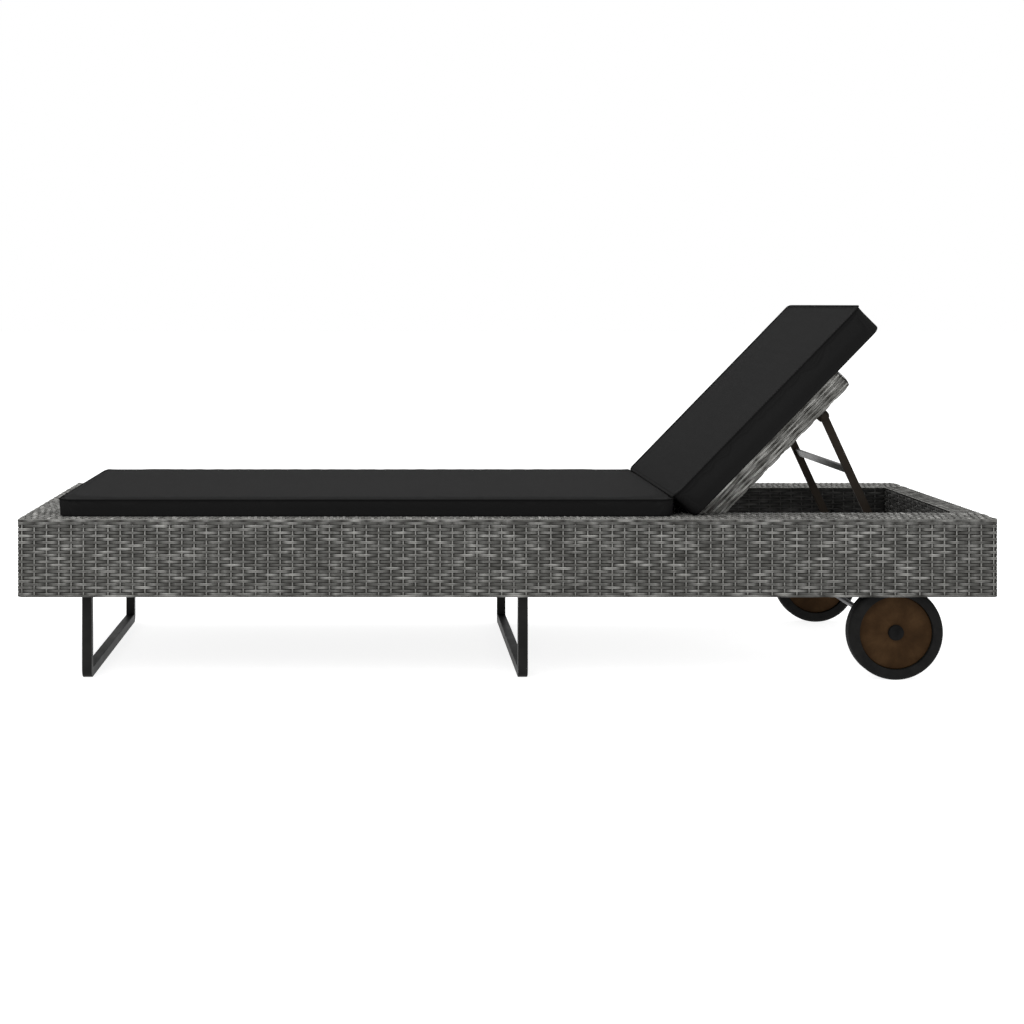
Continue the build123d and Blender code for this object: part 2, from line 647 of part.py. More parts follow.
with BuildPart() as prop_ears:
    for side in SIDES.values():
        with BuildSketch(panel_side(side * EAR_OUTER)):
            with Locations((PIVOT_ALONG, PANEL_BOTTOM - EAR_REACH / 2)):
                Rectangle(EAR_WIDTH, EAR_REACH)
            with Locations((PIVOT_ALONG, -PIVOT_BELOW)):
                Circle(EAR_WIDTH / 2)
            with Locations((PIVOT_ALONG, PANEL_BOTTOM + EAR_WIDTH / 4)):
                Rectangle(2 * EAR_WIDTH, EAR_WIDTH / 2, mode=Mode.SUBTRACT)
            with Locations((PIVOT_ALONG, -PIVOT_BELOW)):
                Circle(PROP_PIN_RADIUS + SEATED, mode=Mode.SUBTRACT)
        extrude(amount=side * EAR_THICK)
        with BuildSketch(panel_side(side * EAR_OUTER)):
            with Locations((PIVOT_ALONG, PANEL_BOTTOM - STRIP / 2)):
                Rectangle(EAR_WIDTH, STRIP)
        extrude(amount=side * EAR_WIDTH)
write(prop_ears, "prop_ears")

for side_name, side in SIDES.items():
    with BuildPart() as prop_strut:
        with BuildSketch(prop_side(side * STRUT_OUTER)):
            with Locations((PROP_LENGTH / 2, 0)):
                SlotCenterToCenter(PROP_LENGTH, STRUT_WIDTH)
            Circle(PROP_PIN_RADIUS + RUNNING, mode=Mode.SUBTRACT)
            with Locations((PROP_LENGTH, 0)):
                Circle(FOOT_BAR_RADIUS + SEATED, mode=Mode.SUBTRACT)
        extrude(amount=side * STRUT_THICK)
    write(prop_strut, f"prop_strut_{side_name}")

with BuildPart() as prop_pins:
    for side in SIDES.values():
        outer = STRUT_OUTER + REST_GAP
        inner = EAR_OUTER - EAR_THICK
        with BuildSketch(prop_side(side * outer)):
            Circle(PROP_PIN_RADIUS)
        extrude(amount=side * (outer - inner))
        with BuildSketch(prop_side(side * outer), prop_side(side * (inner - STRIP))):
            Circle(PROP_PIN_HEAD)
        extrude(amount=-side * STRIP)
write(prop_pins, "prop_pins")

with BuildPart() as prop_cross_bar:
    inner = STRUT_OUTER - STRUT_THICK
    with BuildSketch(prop_side(inner)):
        with Locations((CROSS_BAR_AT, 0)):
            RectangleRounded(CROSS_BAR_WIDTH, CROSS_BAR_THICK, TUBE_CORNER / 2)
    extrude(amount=2 * inner)
write(prop_cross_bar, "prop_cross_bar")

with BuildPart() as prop_foot_bar:
    with BuildSketch(prop_side(FOOT_BAR_END)):
        with Locations((PROP_LENGTH, 0)):
            Circle(FOOT_BAR_RADIUS)
    extrude(amount=2 * FOOT_BAR_END)
write(prop_foot_bar, "prop_foot_bar")

# ---------------------------------------------------------------------------
# Cushions
# ---------------------------------------------------------------------------

with BuildPart() as seat_cushion:
    with BuildSketch(Plane.XY.offset(RIM_TOP + SOFT_GAP)):
        with Locations(((SEAT_START + SEAT_END) / 2, 0)):
            RectangleRounded(SEAT_END - SEAT_START, CUSHION_WIDTH, CUSHION_ROUND)
    extrude(amount=SEAT_THICK)
    fillet(seat_cushion.faces().filter_by(Axis.Z).edges(), CUSHION_ROUND)
write(seat_cushion, "seat_cushion")

with BuildPart() as back_cushion:
    with BuildSketch(panel_plane(PANEL_TOP + SOFT_GAP)):
        with Locations((BACK_CUSHION_START + BACK_CUSHION_LENGTH / 2, 0)):
            RectangleRounded(BACK_CUSHION_LENGTH, CUSHION_WIDTH, CUSHION_ROUND)
    extrude(amount=BACK_CUSHION_THICK)
    broad = back_cushion.faces().sort_by(SortBy.AREA)[-2:]
    fillet(broad.edges(), CUSHION_ROUND)
write(back_cushion, "back_cushion")
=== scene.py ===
"""Reclining sun lounger: woven box frame, sled legs, wheels, folding prop and two cushions."""

import json
import logging
import math
from dataclasses import dataclass, field
from enum import Enum
from typing import Iterable, Sequence

import bmesh
import bpy
import numpy as np
from mathutils import Matrix, Vector


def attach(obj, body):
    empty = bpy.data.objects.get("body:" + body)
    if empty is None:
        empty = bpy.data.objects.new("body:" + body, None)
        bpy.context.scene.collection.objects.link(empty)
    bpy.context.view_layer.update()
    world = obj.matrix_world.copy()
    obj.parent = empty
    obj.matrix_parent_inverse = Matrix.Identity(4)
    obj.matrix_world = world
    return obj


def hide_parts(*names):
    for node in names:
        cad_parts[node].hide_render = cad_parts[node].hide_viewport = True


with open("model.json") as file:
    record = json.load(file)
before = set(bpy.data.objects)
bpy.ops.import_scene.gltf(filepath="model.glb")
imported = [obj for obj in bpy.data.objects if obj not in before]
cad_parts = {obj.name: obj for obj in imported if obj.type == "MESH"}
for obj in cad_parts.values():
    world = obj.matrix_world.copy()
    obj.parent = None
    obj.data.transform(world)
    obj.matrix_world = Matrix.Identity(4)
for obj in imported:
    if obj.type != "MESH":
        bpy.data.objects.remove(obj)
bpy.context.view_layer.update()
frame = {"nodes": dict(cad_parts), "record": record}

log = logging.getLogger("lounger")

Colour = tuple[float, float, float]
Point2 = tuple[float, float]
Point3 = tuple[float, float, float]

MM = 0.001
SEED = 7
SEED_STEP = 11
# Point attributes read by the strand finish: tone, lift (sets painted shade in a strand's dips), across
# (place across a strand, used for ridges and painted edge shade) and shade (painted shade, painted light
# where negative).
ATTRIBUTES = ("tone", "lift", "across", "shade")
WHEEL_CENTRE = (798 * MM, 0.0, 97.5 * MM)
X_AXIS = Vector((1, 0, 0))
Y_AXIS = Vector((0, 1, 0))
Z_AXIS = Vector((0, 0, 1))


class Body(Enum):
    """Rigid bodies that the pieces made here move with."""

    FRAME = "frame"
    BACKREST = "backrest"


class Slot(Enum):
    """Material slots of the record."""

    WICKER = "wicker"
    CLOTH = "cushion_fabric"
    TYRE = "tyre_rubber"
    WOOD = "stained_wood"
    PLASTIC = "black_plastic"
    ZINC = "zinc_steel"
    GREY_STEEL = "grey_steel"
    BLACK_STEEL = "black_steel"
    PROP_STEEL = "prop_steel"


# ---------------------------------------------------------------------------
# Node helpers
# ---------------------------------------------------------------------------


class NodeDesk:
    """Adds and links nodes of one node tree."""

    def __init__(self, tree: bpy.types.NodeTree) -> None:
        """Work on a tree.

        Args:
            tree: The node tree.
        """
        self.nodes = tree.nodes
        self.links = tree.links

    def put(self, target: bpy.types.NodeSocket, value: object) -> None:
        """Link a socket into target, or set target to a constant.

        Args:
            target: Input socket.
            value: Socket or constant; a colour needs no alpha.
        """
        if isinstance(value, bpy.types.NodeSocket):
            self.links.new(value, target)
        elif target.type == "RGBA":
            target.default_value = (*value, 1.0)
        else:
            target.default_value = value

    def node(self, kind: str, inputs: dict[object, object] | None = None,
             **settings: object) -> bpy.types.Node:
        """Add a node.

        Args:
            kind: Node type.
            inputs: Values or sockets by input name or number.
            **settings: Node properties.

        Returns:
            The node.
        """
        made = self.nodes.new(kind)
        for name, value in settings.items():
            setattr(made, name, value)
        for key, value in (inputs or {}).items():
            self.put(made.inputs[key], value)
        return made

    def result(self, kind: str, inputs: dict[object, object] | None = None,
               **settings: object) -> bpy.types.NodeSocket:
        """First output of a new node."""
        return self.node(kind, inputs, **settings).outputs[0]

    def math(self, operation: str, *values: object) -> bpy.types.NodeSocket:
        """Result of a math node."""
        return self.result("ShaderNodeMath", dict(enumerate(values)), operation=operation)

    def plus(self, first: object, second: object) -> bpy.types.NodeSocket:
        """Sum of two values."""
        return self.math("ADD", first, second)

    def minus(self, first: object, second: object) -> bpy.types.NodeSocket:
        """Difference of two values."""
        return self.math("SUBTRACT", first, second)

    def times(self, first: object, second: object) -> bpy.types.NodeSocket:
        """Product of two values."""
        return self.math("MULTIPLY", first, second)

    def point(self, x: object = 0.0, y: object = 0.0, z: object = 0.0) -> bpy.types.NodeSocket:
        """Vector from three values."""
        return self.result("ShaderNodeCombineXYZ", {0: x, 1: y, 2: z})

    def parts(self, vector: object) -> Sequence[bpy.types.NodeSocket]:
        """The three values of a vector."""
        return self.node("ShaderNodeSeparateXYZ", {0: vector}).outputs


class ShaderDesk(NodeDesk):
    """Adds and links nodes of one material."""

    def __init__(self, name: str) -> None:
        """Start an empty material.

        Args:
            name: Name of the material.
        """
        self.material = bpy.data.materials.new(name)
        self.material.use_nodes = True
        super().__init__(self.material.node_tree)
        self.nodes.clear()
        self.shader = self.node("ShaderNodeBsdfPrincipled")
        self.node("ShaderNodeOutputMaterial", {"Surface": self.shader.outputs["BSDF"]})

    def coords(self, scale: Sequence[float] = (1, 1, 1),
               centre: Sequence[float] = (0, 0, 0)) -> bpy.types.NodeSocket:
        """Object coordinates, measured from a centre and scaled.

        Args:
            scale: Scale along each axis.
            centre: Place that becomes zero.

        Returns:
            The vector socket.
        """
        source = self.node("ShaderNodeTexCoord").outputs["Object"]
        return self.result("ShaderNodeMapping", {
            "Vector": source, "Scale": scale, "Location": tuple(-c for c in centre)})

    def noise(self, scale: float, detail: float = 2.0, rough: float = 0.5,
              at: bpy.types.NodeSocket | None = None) -> bpy.types.NodeSocket:
        """Noise value at a vector, or at the object coordinates."""
        vector = self.coords() if at is None else at
        return self.result("ShaderNodeTexNoise", {
            "Vector": vector, "Scale": scale, "Detail": detail, "Roughness": rough})

    def wave(self, vector: bpy.types.NodeSocket, scale: float, axis: str, distortion: float = 0.0,
             shape: str = "bands") -> bpy.types.NodeSocket:
        """Value of a wave texture of bands or rings along one axis."""
        return self.node(
            "ShaderNodeTexWave", {"Vector": vector, "Scale": scale, "Distortion": distortion},
            wave_type=shape.upper(), **{shape + "_direction": axis}).outputs["Fac"]

    def ramp(self, value: bpy.types.NodeSocket,
             stops: Sequence[tuple[float, Colour]]) -> bpy.types.NodeSocket:
        """Colour ramp through the given stops.

        Args:
            value: Value that picks the colour.
            stops: Place and colour of each stop, lowest first.

        Returns:
            The colour socket.
        """
        made = self.node("ShaderNodeValToRGB", {"Fac": value})
        elements = made.color_ramp.elements
        while len(elements) < len(stops):
            elements.new(0.5)
        for element, (place, colour) in zip(elements, stops):
            element.position = place
            element.color = (*colour, 1.0)
        return made.outputs["Color"]

    def blend(self, factor: object, first: object, second: object,
              mode: str = "MIX") -> bpy.types.NodeSocket:
        """Mix of two colours."""
        return self.node("ShaderNodeMix", {0: factor, 6: first, 7: second},
                         data_type="RGBA", blend_type=mode).outputs[2]

    def span(self, value: bpy.types.NodeSocket, low: float, high: float) -> bpy.types.NodeSocket:
        """Value from 0 to 1 spread between low and high."""
        return self.result("ShaderNodeMapRange", {"Value": value, "To Min": low, "To Max": high})

    def attribute(self, name: str) -> bpy.types.NodeSocket:
        """Factor of a mesh attribute."""
        return self.node("ShaderNodeAttribute", attribute_name=name).outputs["Fac"]

    def bump(self, height: bpy.types.NodeSocket, distance: float, strength: float,
             below: bpy.types.NodeSocket | None = None) -> bpy.types.NodeSocket:
        """Bump normal from a height.

        Args:
            height: Height socket.
            distance: Height of the bumps in metres.
            strength: Share of the bump that is kept.
            below: Normal of a bump that this one lies on.

        Returns:
            The normal socket.
        """
        made = self.node("ShaderNodeBump", {"Height": height, "Distance": distance, "Strength": strength})
        if below is not None:
            self.put(made.inputs["Normal"], below)
        return made.outputs["Normal"]

    def finish(self, colour: bpy.types.NodeSocket, roughness: object,
               normal: bpy.types.NodeSocket | None = None, **constants: object) -> bpy.types.Material:
        """Set the surface shader.

        Args:
            colour: Colour socket.
            roughness: Roughness socket or constant.
            normal: Normal socket.
            **constants: Other shader inputs, with underscores for spaces.

        Returns:
            The finished material.
        """
        self.put(self.shader.inputs["Base Color"], colour)
        self.put(self.shader.inputs["Roughness"], roughness)
        if normal is not None:
            self.put(self.shader.inputs["Normal"], normal)
        for name, value in constants.items():
            self.put(self.shader.inputs[name.replace("_", " ")], value)
        return self.material


class TreeDesk(NodeDesk):
    """Adds and links nodes of one Geometry Nodes tree."""

    def __init__(self, name: str) -> None:
        """Start a tree with one geometry input and one geometry output.

        Args:
            name: Name of the tree.
        """
        self.tree = bpy.data.node_groups.new(name, "GeometryNodeTree")
        super().__init__(self.tree)
        self.identifiers: dict[str, str] = {}
        for way in ("INPUT", "OUTPUT"):
            self.tree.interface.new_socket("Geometry", in_out=way, socket_type="NodeSocketGeometry")
        self.source = self.node("NodeGroupInput")
        self.sink = self.node("NodeGroupOutput")

    def entry(self, name: str, kind: str = "Float", default: object = None) -> bpy.types.NodeSocket:
        """Add a named input.

        Args:
            name: Name of the input.
            kind: Socket type, without its prefix.
            default: Value for an input that is left alone.

        Returns:
            The socket inside the tree.
        """
        item = self.tree.interface.new_socket(name, in_out="INPUT", socket_type="NodeSocket" + kind)
        if default is not None:
            item.default_value = default
        self.identifiers[name] = item.identifier
        return self.source.outputs[name]

    def vectors(self, operation: str, *values: object) -> bpy.types.NodeSocket:
        """Result of a vector math node."""
        return self.result("ShaderNodeVectorMath", dict(enumerate(values)), operation=operation)

    def scaled(self, vector: object, factor: object) -> bpy.types.NodeSocket:
        """Vector times a factor."""
        return self.result("ShaderNodeVectorMath", {0: vector, "Scale": factor}, operation="SCALE")

    def noise(self, vector: object, detail: float) -> bpy.types.NodeSocket:
        """Noise between about -0.5 and 0.5."""
        made = self.result("ShaderNodeTexNoise", {"Vector": vector, "Scale": 1.0, "Detail": detail})
        return self.minus(made, 0.5)

    def store(self, geometry: object, name: str, value: object) -> bpy.types.NodeSocket:
        """Keep a point value as a named attribute."""
        return self.result("GeometryNodeStoreNamedAttribute",
                           {"Geometry": geometry, "Name": name, "Value": value},
                           data_type="FLOAT", domain="POINT")

    def resampled(self, curve: object, key: str, value: object) -> bpy.types.NodeSocket:
        """Curve cut into equal steps, by Count or by Length."""
        return self.result("GeometryNodeResampleCurve", {"Curve": curve, key: value}, mode=key.upper())

    def shifted(self, geometry: object, offset: object) -> bpy.types.NodeSocket:
        """Geometry with each point moved by an offset."""
        return self.result("GeometryNodeSetPosition", {"Geometry": geometry, "Offset": offset})

    def facing(self, curve: object, normal: object) -> bpy.types.NodeSocket:
        """Curve with its normal set."""
        return self.result("GeometryNodeSetCurveNormal", {"Curve": curve, "Normal": normal}, mode="FREE")

    def swept(self, curve: object, section: object, caps: bool = True) -> bpy.types.NodeSocket:
        """Section drawn along a curve."""
        return self.result("GeometryNodeCurveToMesh", {
            "Curve": curve, "Profile Curve": section, "Fill Caps": caps})

    def joined(self, *geometries: object) -> bpy.types.NodeSocket:
        """Join several geometries.

        Args:
            *geometries: Geometry sockets in order.

        Returns:
            The joined geometry.
        """
        both = self.node("GeometryNodeJoinGeometry")
        for geometry in geometries:
            self.links.new(geometry, both.inputs[0])
        return both.outputs[0]

    def close(self, geometry: object, material: object) -> None:
        """End the tree with Realize Instances and Set Material.

        Args:
            geometry: Last geometry socket.
            material: Material socket.
        """
        shaded = self.result("GeometryNodeSetShadeSmooth", {"Geometry": geometry, "Shade Smooth": True})
        real = self.result("GeometryNodeRealizeInstances", {"Geometry": shaded})
        dressed = self.result("GeometryNodeSetMaterial", {"Geometry": real, "Material": material})
        self.links.new(dressed, self.sink.inputs[0])


# ---------------------------------------------------------------------------
# Finishes
# ---------------------------------------------------------------------------


@dataclass(frozen=True)
class StrandFinish:
    """Flat weathered-grey synthetic strand of the weave, with painted shade at its edges and in its dips,
    and painted shade and light set per band.
    """

    name: str
    dark: Colour = (0.060, 0.059, 0.054)
    middle: Colour = (0.165, 0.164, 0.156)
    light: Colour = (0.62, 0.615, 0.590)
    # Painted shade colour, mixed in at the strand edges and where a strand dips under a stake.
    recess_shade: Colour = (0.018, 0.017, 0.015)
    stain: Colour = (0.23, 0.225, 0.205)
    ridges: float = 26.0

    def build(self) -> bpy.types.Material:
        """Make the material."""
        desk = ShaderDesk(self.name)
        tone, lift, across, shade = (desk.attribute(name) for name in ATTRIBUTES)
        mottle = desk.noise(160.0, 3.0, 0.6)
        mixed = desk.plus(desk.times(tone, 0.75), desk.times(mottle, 0.3))
        base = desk.ramp(mixed, [(0.05, self.dark), (0.5, self.middle), (0.98, self.light)])
        ridge = desk.math("SINE", desk.times(across, self.ridges))
        # Painted shade: darker towards the edges of each strand, standing in for the shade between strands.
        edge = desk.math("POWER", desk.times(desk.math("ABSOLUTE", across), 2.0), 2.0)
        edge_shaded = desk.blend(desk.times(edge, 0.8), base, self.recess_shade)
        # Painted shade where the strand dips under a stake, driven by the lift attribute.
        colour = desk.blend(desk.times(desk.minus(1.0, lift), 0.86), edge_shaded, self.recess_shade)
        patches = desk.span(desk.noise(4.0), 0.0, 0.28)
        weathered = desk.blend(patches, colour, self.stain, "MULTIPLY")
        # Painted shade and painted light per band: the shade attribute darkens the weave, and a negative
        # value lightens it.
        shaded = desk.blend(1.0, weathered, desk.minus(1.0, shade), "MULTIPLY")
        grain = desk.bump(ridge, 0.25 * MM, 0.5)
        pores = desk.bump(desk.noise(900.0), 0.2 * MM, 0.35, grain)
        return desk.finish(shaded, desk.span(mottle, 0.55, 0.75), pores, Specular_IOR_Level=0.12)


@dataclass(frozen=True)
class WovenCoreFinish:
    """Inner side of the weave, with its over-and-under pattern, coloured very dark as painted shade behind
    the strands.
    """

    name: str
    stake_pitch: float = 25.0 * MM
    row_pitch: float = 6.3 * MM
    # Very dark colours: painted shade of the weave's inner side, which lies behind the strands.
    dark: Colour = (0.009, 0.0088, 0.008)
    light: Colour = (0.036, 0.035, 0.031)

    def build(self) -> bpy.types.Material:
        """Make the material."""
        desk = ShaderDesk(self.name)
        vector = desk.coords((1 / self.stake_pitch, 1 / self.stake_pitch, 1 / self.row_pitch))
        checker = desk.node("ShaderNodeTexChecker", {"Vector": vector, "Scale": 1.0}).outputs["Fac"]
        rows = desk.wave(desk.coords(), 1 / self.row_pitch / 2, "Z")
        speckle = desk.noise(1.0, 3.0, at=desk.coords((60, 60, 240)))
        height = desk.plus(desk.times(checker, 0.5), rows)
        colour = desk.ramp(desk.times(height, speckle), [(0.1, self.dark), (0.8, self.light)])
        return desk.finish(colour, 0.8, desk.bump(height, 1.2 * MM, 0.6), Specular_IOR_Level=0.12)


@dataclass(frozen=True)
class ClothFinish:
    """Near-black outdoor cushion cloth with a fine plain weave."""

    name: str
    dark: Colour = (0.0042, 0.0042, 0.0042)
    light: Colour = (0.0150, 0.0150, 0.0151)
    faded: Colour = (0.0105, 0.0104, 0.0104)
    thread: float = 0.9 * MM

    def build(self) -> bpy.types.Material:
        """Make the material."""
        desk = ShaderDesk(self.name)
        fine = desk.coords()
        warp, weft, rise = (desk.wave(fine, 1 / self.thread / 2, axis, 0.6) for axis in "XYZ")
        threads = desk.plus(desk.times(warp, weft), desk.times(rise, 0.5))
        lint = desk.noise(420.0, 4.0, 0.7)
        cloud = desk.noise(3.2, 3.0, 0.55)
        tone = desk.plus(desk.times(threads, 0.35), desk.times(lint, 0.45))
        base = desk.ramp(tone, [(0.15, self.dark), (0.85, self.light)])
        colour = desk.blend(desk.span(cloud, 0.0, 0.5), base, self.faded)
        folds = desk.bump(desk.noise(9.0), 4.0 * MM, 0.10)
        weave = desk.bump(threads, 0.3 * MM, 0.35, folds)
        return desk.finish(colour, desk.span(lint, 0.82, 0.96), weave, Specular_IOR_Level=0.025)


@dataclass(frozen=True)
class PowderCoatFinish:
    """Painted steel: fine orange peel and slight dust."""

    name: str
    colour: Colour
    worn: Colour
    roughness: float = 0.42
    gloss: float = 0.05

    def build(self) -> bpy.types.Material:
        """Make the material."""
        desk = ShaderDesk(self.name)
        dust = desk.noise(22.0, 4.0, 0.6)
        colour = desk.ramp(dust, [(0.35, self.colour), (0.75, self.worn)])
        peel = desk.bump(desk.noise(850.0), 0.2 * MM, 0.3)
        return desk.finish(colour, desk.span(dust, self.roughness - 0.08, self.roughness + 0.12), peel,
                           Specular_IOR_Level=self.gloss)


@dataclass(frozen=True)
class ZincFinish:
    """Zinc plated steel of fasteners and the axle."""

    name: str
    dark: Colour = (0.07, 0.07, 0.072)
    light: Colour = (0.15, 0.15, 0.154)

    def build(self) -> bpy.types.Material:
        """Make the material."""
        desk = ShaderDesk(self.name)
        spangle = desk.noise(260.0, 3.0, 0.7)
        colour = desk.ramp(spangle, [(0.3, self.dark), (0.7, self.light)])
        return desk.finish(colour, desk.span(spangle, 0.3, 0.5), desk.bump(spangle, 0.1 * MM, 0.3),
                           Metallic=0.9)


@dataclass(frozen=True)
class RubberFinish:
    """Matt solid rubber tyre with faint mould rings."""

    name: str
    dark: Colour = (0.0050, 0.0050, 0.0050)
    dusty: Colour = (0.0105, 0.0102, 0.0098)

    def build(self) -> bpy.types.Material:
        """Make the material."""
        desk = ShaderDesk(self.name)
        dust = desk.noise(45.0, 4.0, 0.65)
        colour = desk.ramp(dust, [(0.35, self.dark), (0.8, self.dusty)])
        rings = desk.wave(desk.coords(centre=WHEEL_CENTRE), 160.0, "Y", shape="rings")
        mould = desk.bump(rings, 0.2 * MM, 0.25)
        grit = desk.bump(desk.noise(700.0, 3.0), 0.3 * MM, 0.4, mould)
        return desk.finish(colour, desk.span(dust, 0.58, 0.78), grit, Specular_IOR_Level=0.06)


@dataclass(frozen=True)
class StainedWoodFinish:
    """Dark stained timber disc, its figure fanning out from the hub."""

    name: str
    dark: Colour = (0.0175, 0.0085, 0.0031)
    middle: Colour = (0.0260, 0.0131, 0.0050)
    light: Colour = (0.0400, 0.0212, 0.0088)

    def build(self) -> bpy.types.Material:
        """Make the material."""
        desk = ShaderDesk(self.name)
        centred = desk.coords(centre=WHEEL_CENTRE)
        x, _, z = desk.parts(centred)
        angle = desk.math("ARCTAN2", z, x)
        radius = desk.math("SQRT", desk.plus(desk.math("POWER", x, 2.0), desk.math("POWER", z, 2.0)))
        fan = desk.point(desk.times(angle, 1.6), desk.times(radius, 9.0))
        rays = desk.noise(3.4, 4.0, 0.6, at=fan)
        pores = desk.noise(26.0, 4.0, 0.65, at=fan)
        blotch = desk.noise(22.0, 3.0, 0.55, at=centred)
        tone = desk.plus(desk.times(rays, 0.2), desk.plus(desk.times(pores, 0.15), desk.times(blotch, 0.7)))
        colour = desk.ramp(tone, [(0.34, self.dark), (0.52, self.middle), (0.7, self.light)])
        return desk.finish(colour, desk.span(pores, 0.5, 0.68), desk.bump(pores, 0.3 * MM, 0.3),
                           Specular_IOR_Level=0.04)


@dataclass(frozen=True)
class PlasticFinish:
    """Moulded black plastic."""

    name: str
    dark: Colour = (0.0035, 0.0035, 0.0035)
    light: Colour = (0.008, 0.008, 0.008)

    def build(self) -> bpy.types.Material:
        """Make the material."""
        desk = ShaderDesk(self.name)
        flow = desk.noise(60.0, 3.0)
        colour = desk.ramp(flow, [(0.3, self.dark), (0.8, self.light)])
        texture = desk.bump(desk.noise(1100.0), 0.15 * MM, 0.4)
        return desk.finish(colour, desk.span(flow, 0.34, 0.5), texture, Specular_IOR_Level=0.03)


@dataclass(frozen=True)
class FloorFinish:
    """Plain pale studio floor with an even glow of its own, which keeps shadows faint."""

    name: str
    dark: Colour = (0.36, 0.36, 0.36)
    light: Colour = (0.38, 0.38, 0.38)
    glow: float = 0.86

    def build(self) -> bpy.types.Material:
        """Make the material."""
        desk = ShaderDesk(self.name)
        colour = desk.ramp(desk.noise(0.6), [(0.3, self.dark), (0.7, self.light)])
        return desk.finish(colour, 0.95, Specular_IOR_Level=0.0, Emission_Color=(1.0, 1.0, 1.0),
                           Emission_Strength=self.glow)


# ---------------------------------------------------------------------------
# Mesh helpers
# ---------------------------------------------------------------------------


def in_scene(name: str, data: bpy.types.ID) -> bpy.types.Object:
    """Put a mesh, camera or light in the scene.

    Args:
        name: Name of the object.
        data: Its mesh, camera or light.

    Returns:
        The object, at the origin.
    """
    made = bpy.data.objects.new(name, data)
    bpy.context.scene.collection.objects.link(made)
    return made


def path_object(points: Sequence[Vector], closed: bool = False) -> bpy.types.Object:
    """Make a chain of edges for a tree to follow.

    Args:
        points: Corners in order, in metres.
        closed: Whether the chain comes back to its start.

    Returns:
        The helper object.
    """
    mesh = bpy.data.meshes.new("path")
    edges = [(i, i + 1) for i in range(len(points) - 1)]
    if closed:
        edges.append((len(points) - 1, 0))
    mesh.from_pydata([tuple(p) for p in points], edges, [])
    return in_scene("path", mesh)


def grown(base: bpy.types.Object, desk: TreeDesk, values: dict[str, object]) -> bpy.types.Mesh:
    """Run a tree on a helper object and keep the result as a plain mesh.

    Args:
        base: Helper object, removed afterwards.
        desk: The tree.
        values: Input values by name.

    Returns:
        The mesh.
    """
    modifier = base.modifiers.new("grow", "NODES")
    modifier.node_group = desk.tree
    for name, value in values.items():
        modifier[desk.identifiers[name]] = value
    evaluated = base.evaluated_get(bpy.context.evaluated_depsgraph_get())
    mesh = bpy.data.meshes.new_from_object(evaluated)
    base.modifiers.remove(modifier)
    spare = base.data
    bpy.data.objects.remove(base)
    bpy.data.meshes.remove(spare)
    return mesh


def read(rows: bpy.types.bpy_prop_collection, key: str, width: int = 1,
         kind: type = np.float32) -> np.ndarray:
    """Read one property of every row.

    Args:
        rows: Vertices, loops, polygons or attribute data.
        key: Name of the property.
        width: Numbers in each row.
        kind: Number type.

    Returns:
        All the numbers in one flat array.
    """
    values = np.empty(len(rows) * width, kind)
    rows.foreach_get(key, values)
    return values


def merged(name: str, meshes: Sequence[bpy.types.Mesh], material: bpy.types.Material) -> bpy.types.Object:
    """Join plain meshes and their strand attributes into one object.

    Args:
        name: Name of the object.
        meshes: Meshes to join, removed afterwards.
        material: Material of the whole object.

    Returns:
        The object, at the origin.
    """
    points, corners, starts, values = [], [], [], {key: [] for key in ATTRIBUTES}
    point_count = corner_count = 0
    for mesh in meshes:
        points.append(read(mesh.vertices, "co", 3))
        corners.append(read(mesh.loops, "vertex_index", kind=np.int32) + point_count)
        starts.append(read(mesh.polygons, "loop_start", kind=np.int32) + corner_count)
        for key in ATTRIBUTES:
            known = key in mesh.attributes
            values[key].append(read(mesh.attributes[key].data, "value") if known
                               else np.zeros(len(mesh.vertices), np.float32))
        point_count += len(mesh.vertices)
        corner_count += len(mesh.loops)
    whole = bpy.data.meshes.new(name)
    whole.vertices.add(point_count)
    whole.vertices.foreach_set("co", np.concatenate(points))
    whole.loops.add(corner_count)
    whole.loops.foreach_set("vertex_index", np.concatenate(corners))
    face_starts = np.concatenate(starts)
    whole.polygons.add(len(face_starts))
    whole.polygons.foreach_set("loop_start", face_starts)
    for key in ATTRIBUTES:
        attribute = whole.attributes.new(key, "FLOAT", "POINT")
        attribute.data.foreach_set("value", np.concatenate(values[key]))
    whole.update(calc_edges=True)
    whole.validate()
    whole.materials.append(material)
    for mesh in meshes:
        bpy.data.meshes.remove(mesh)
    return in_scene(name, whole)


def report(piece: bpy.types.Object) -> None:
    """Log the size of a finished piece."""
    count = len(piece.data.loops) - 2 * len(piece.data.polygons)
    log.info("%s: %d triangles", piece.name, count)


# ---------------------------------------------------------------------------
# Weave
# ---------------------------------------------------------------------------


@dataclass(frozen=True)
class Band:
    """One band of weave: a path its strands follow, and the way its rows step."""

    path: Sequence[Vector]
    step: Vector
    height: float
    row_pitch: float = 6.5 * MM
    stake_pitch: float = 25.0 * MM
    strand_width: float = 5.6 * MM
    swing: float = 1.2 * MM
    lift: float = 0.6 * MM
    wander: float = 1.1 * MM
    stakes: bool = True
    divisions: int = 4
    # Painted shade of the band's weave colour; a negative value paints light.
    shade: float = 0.0


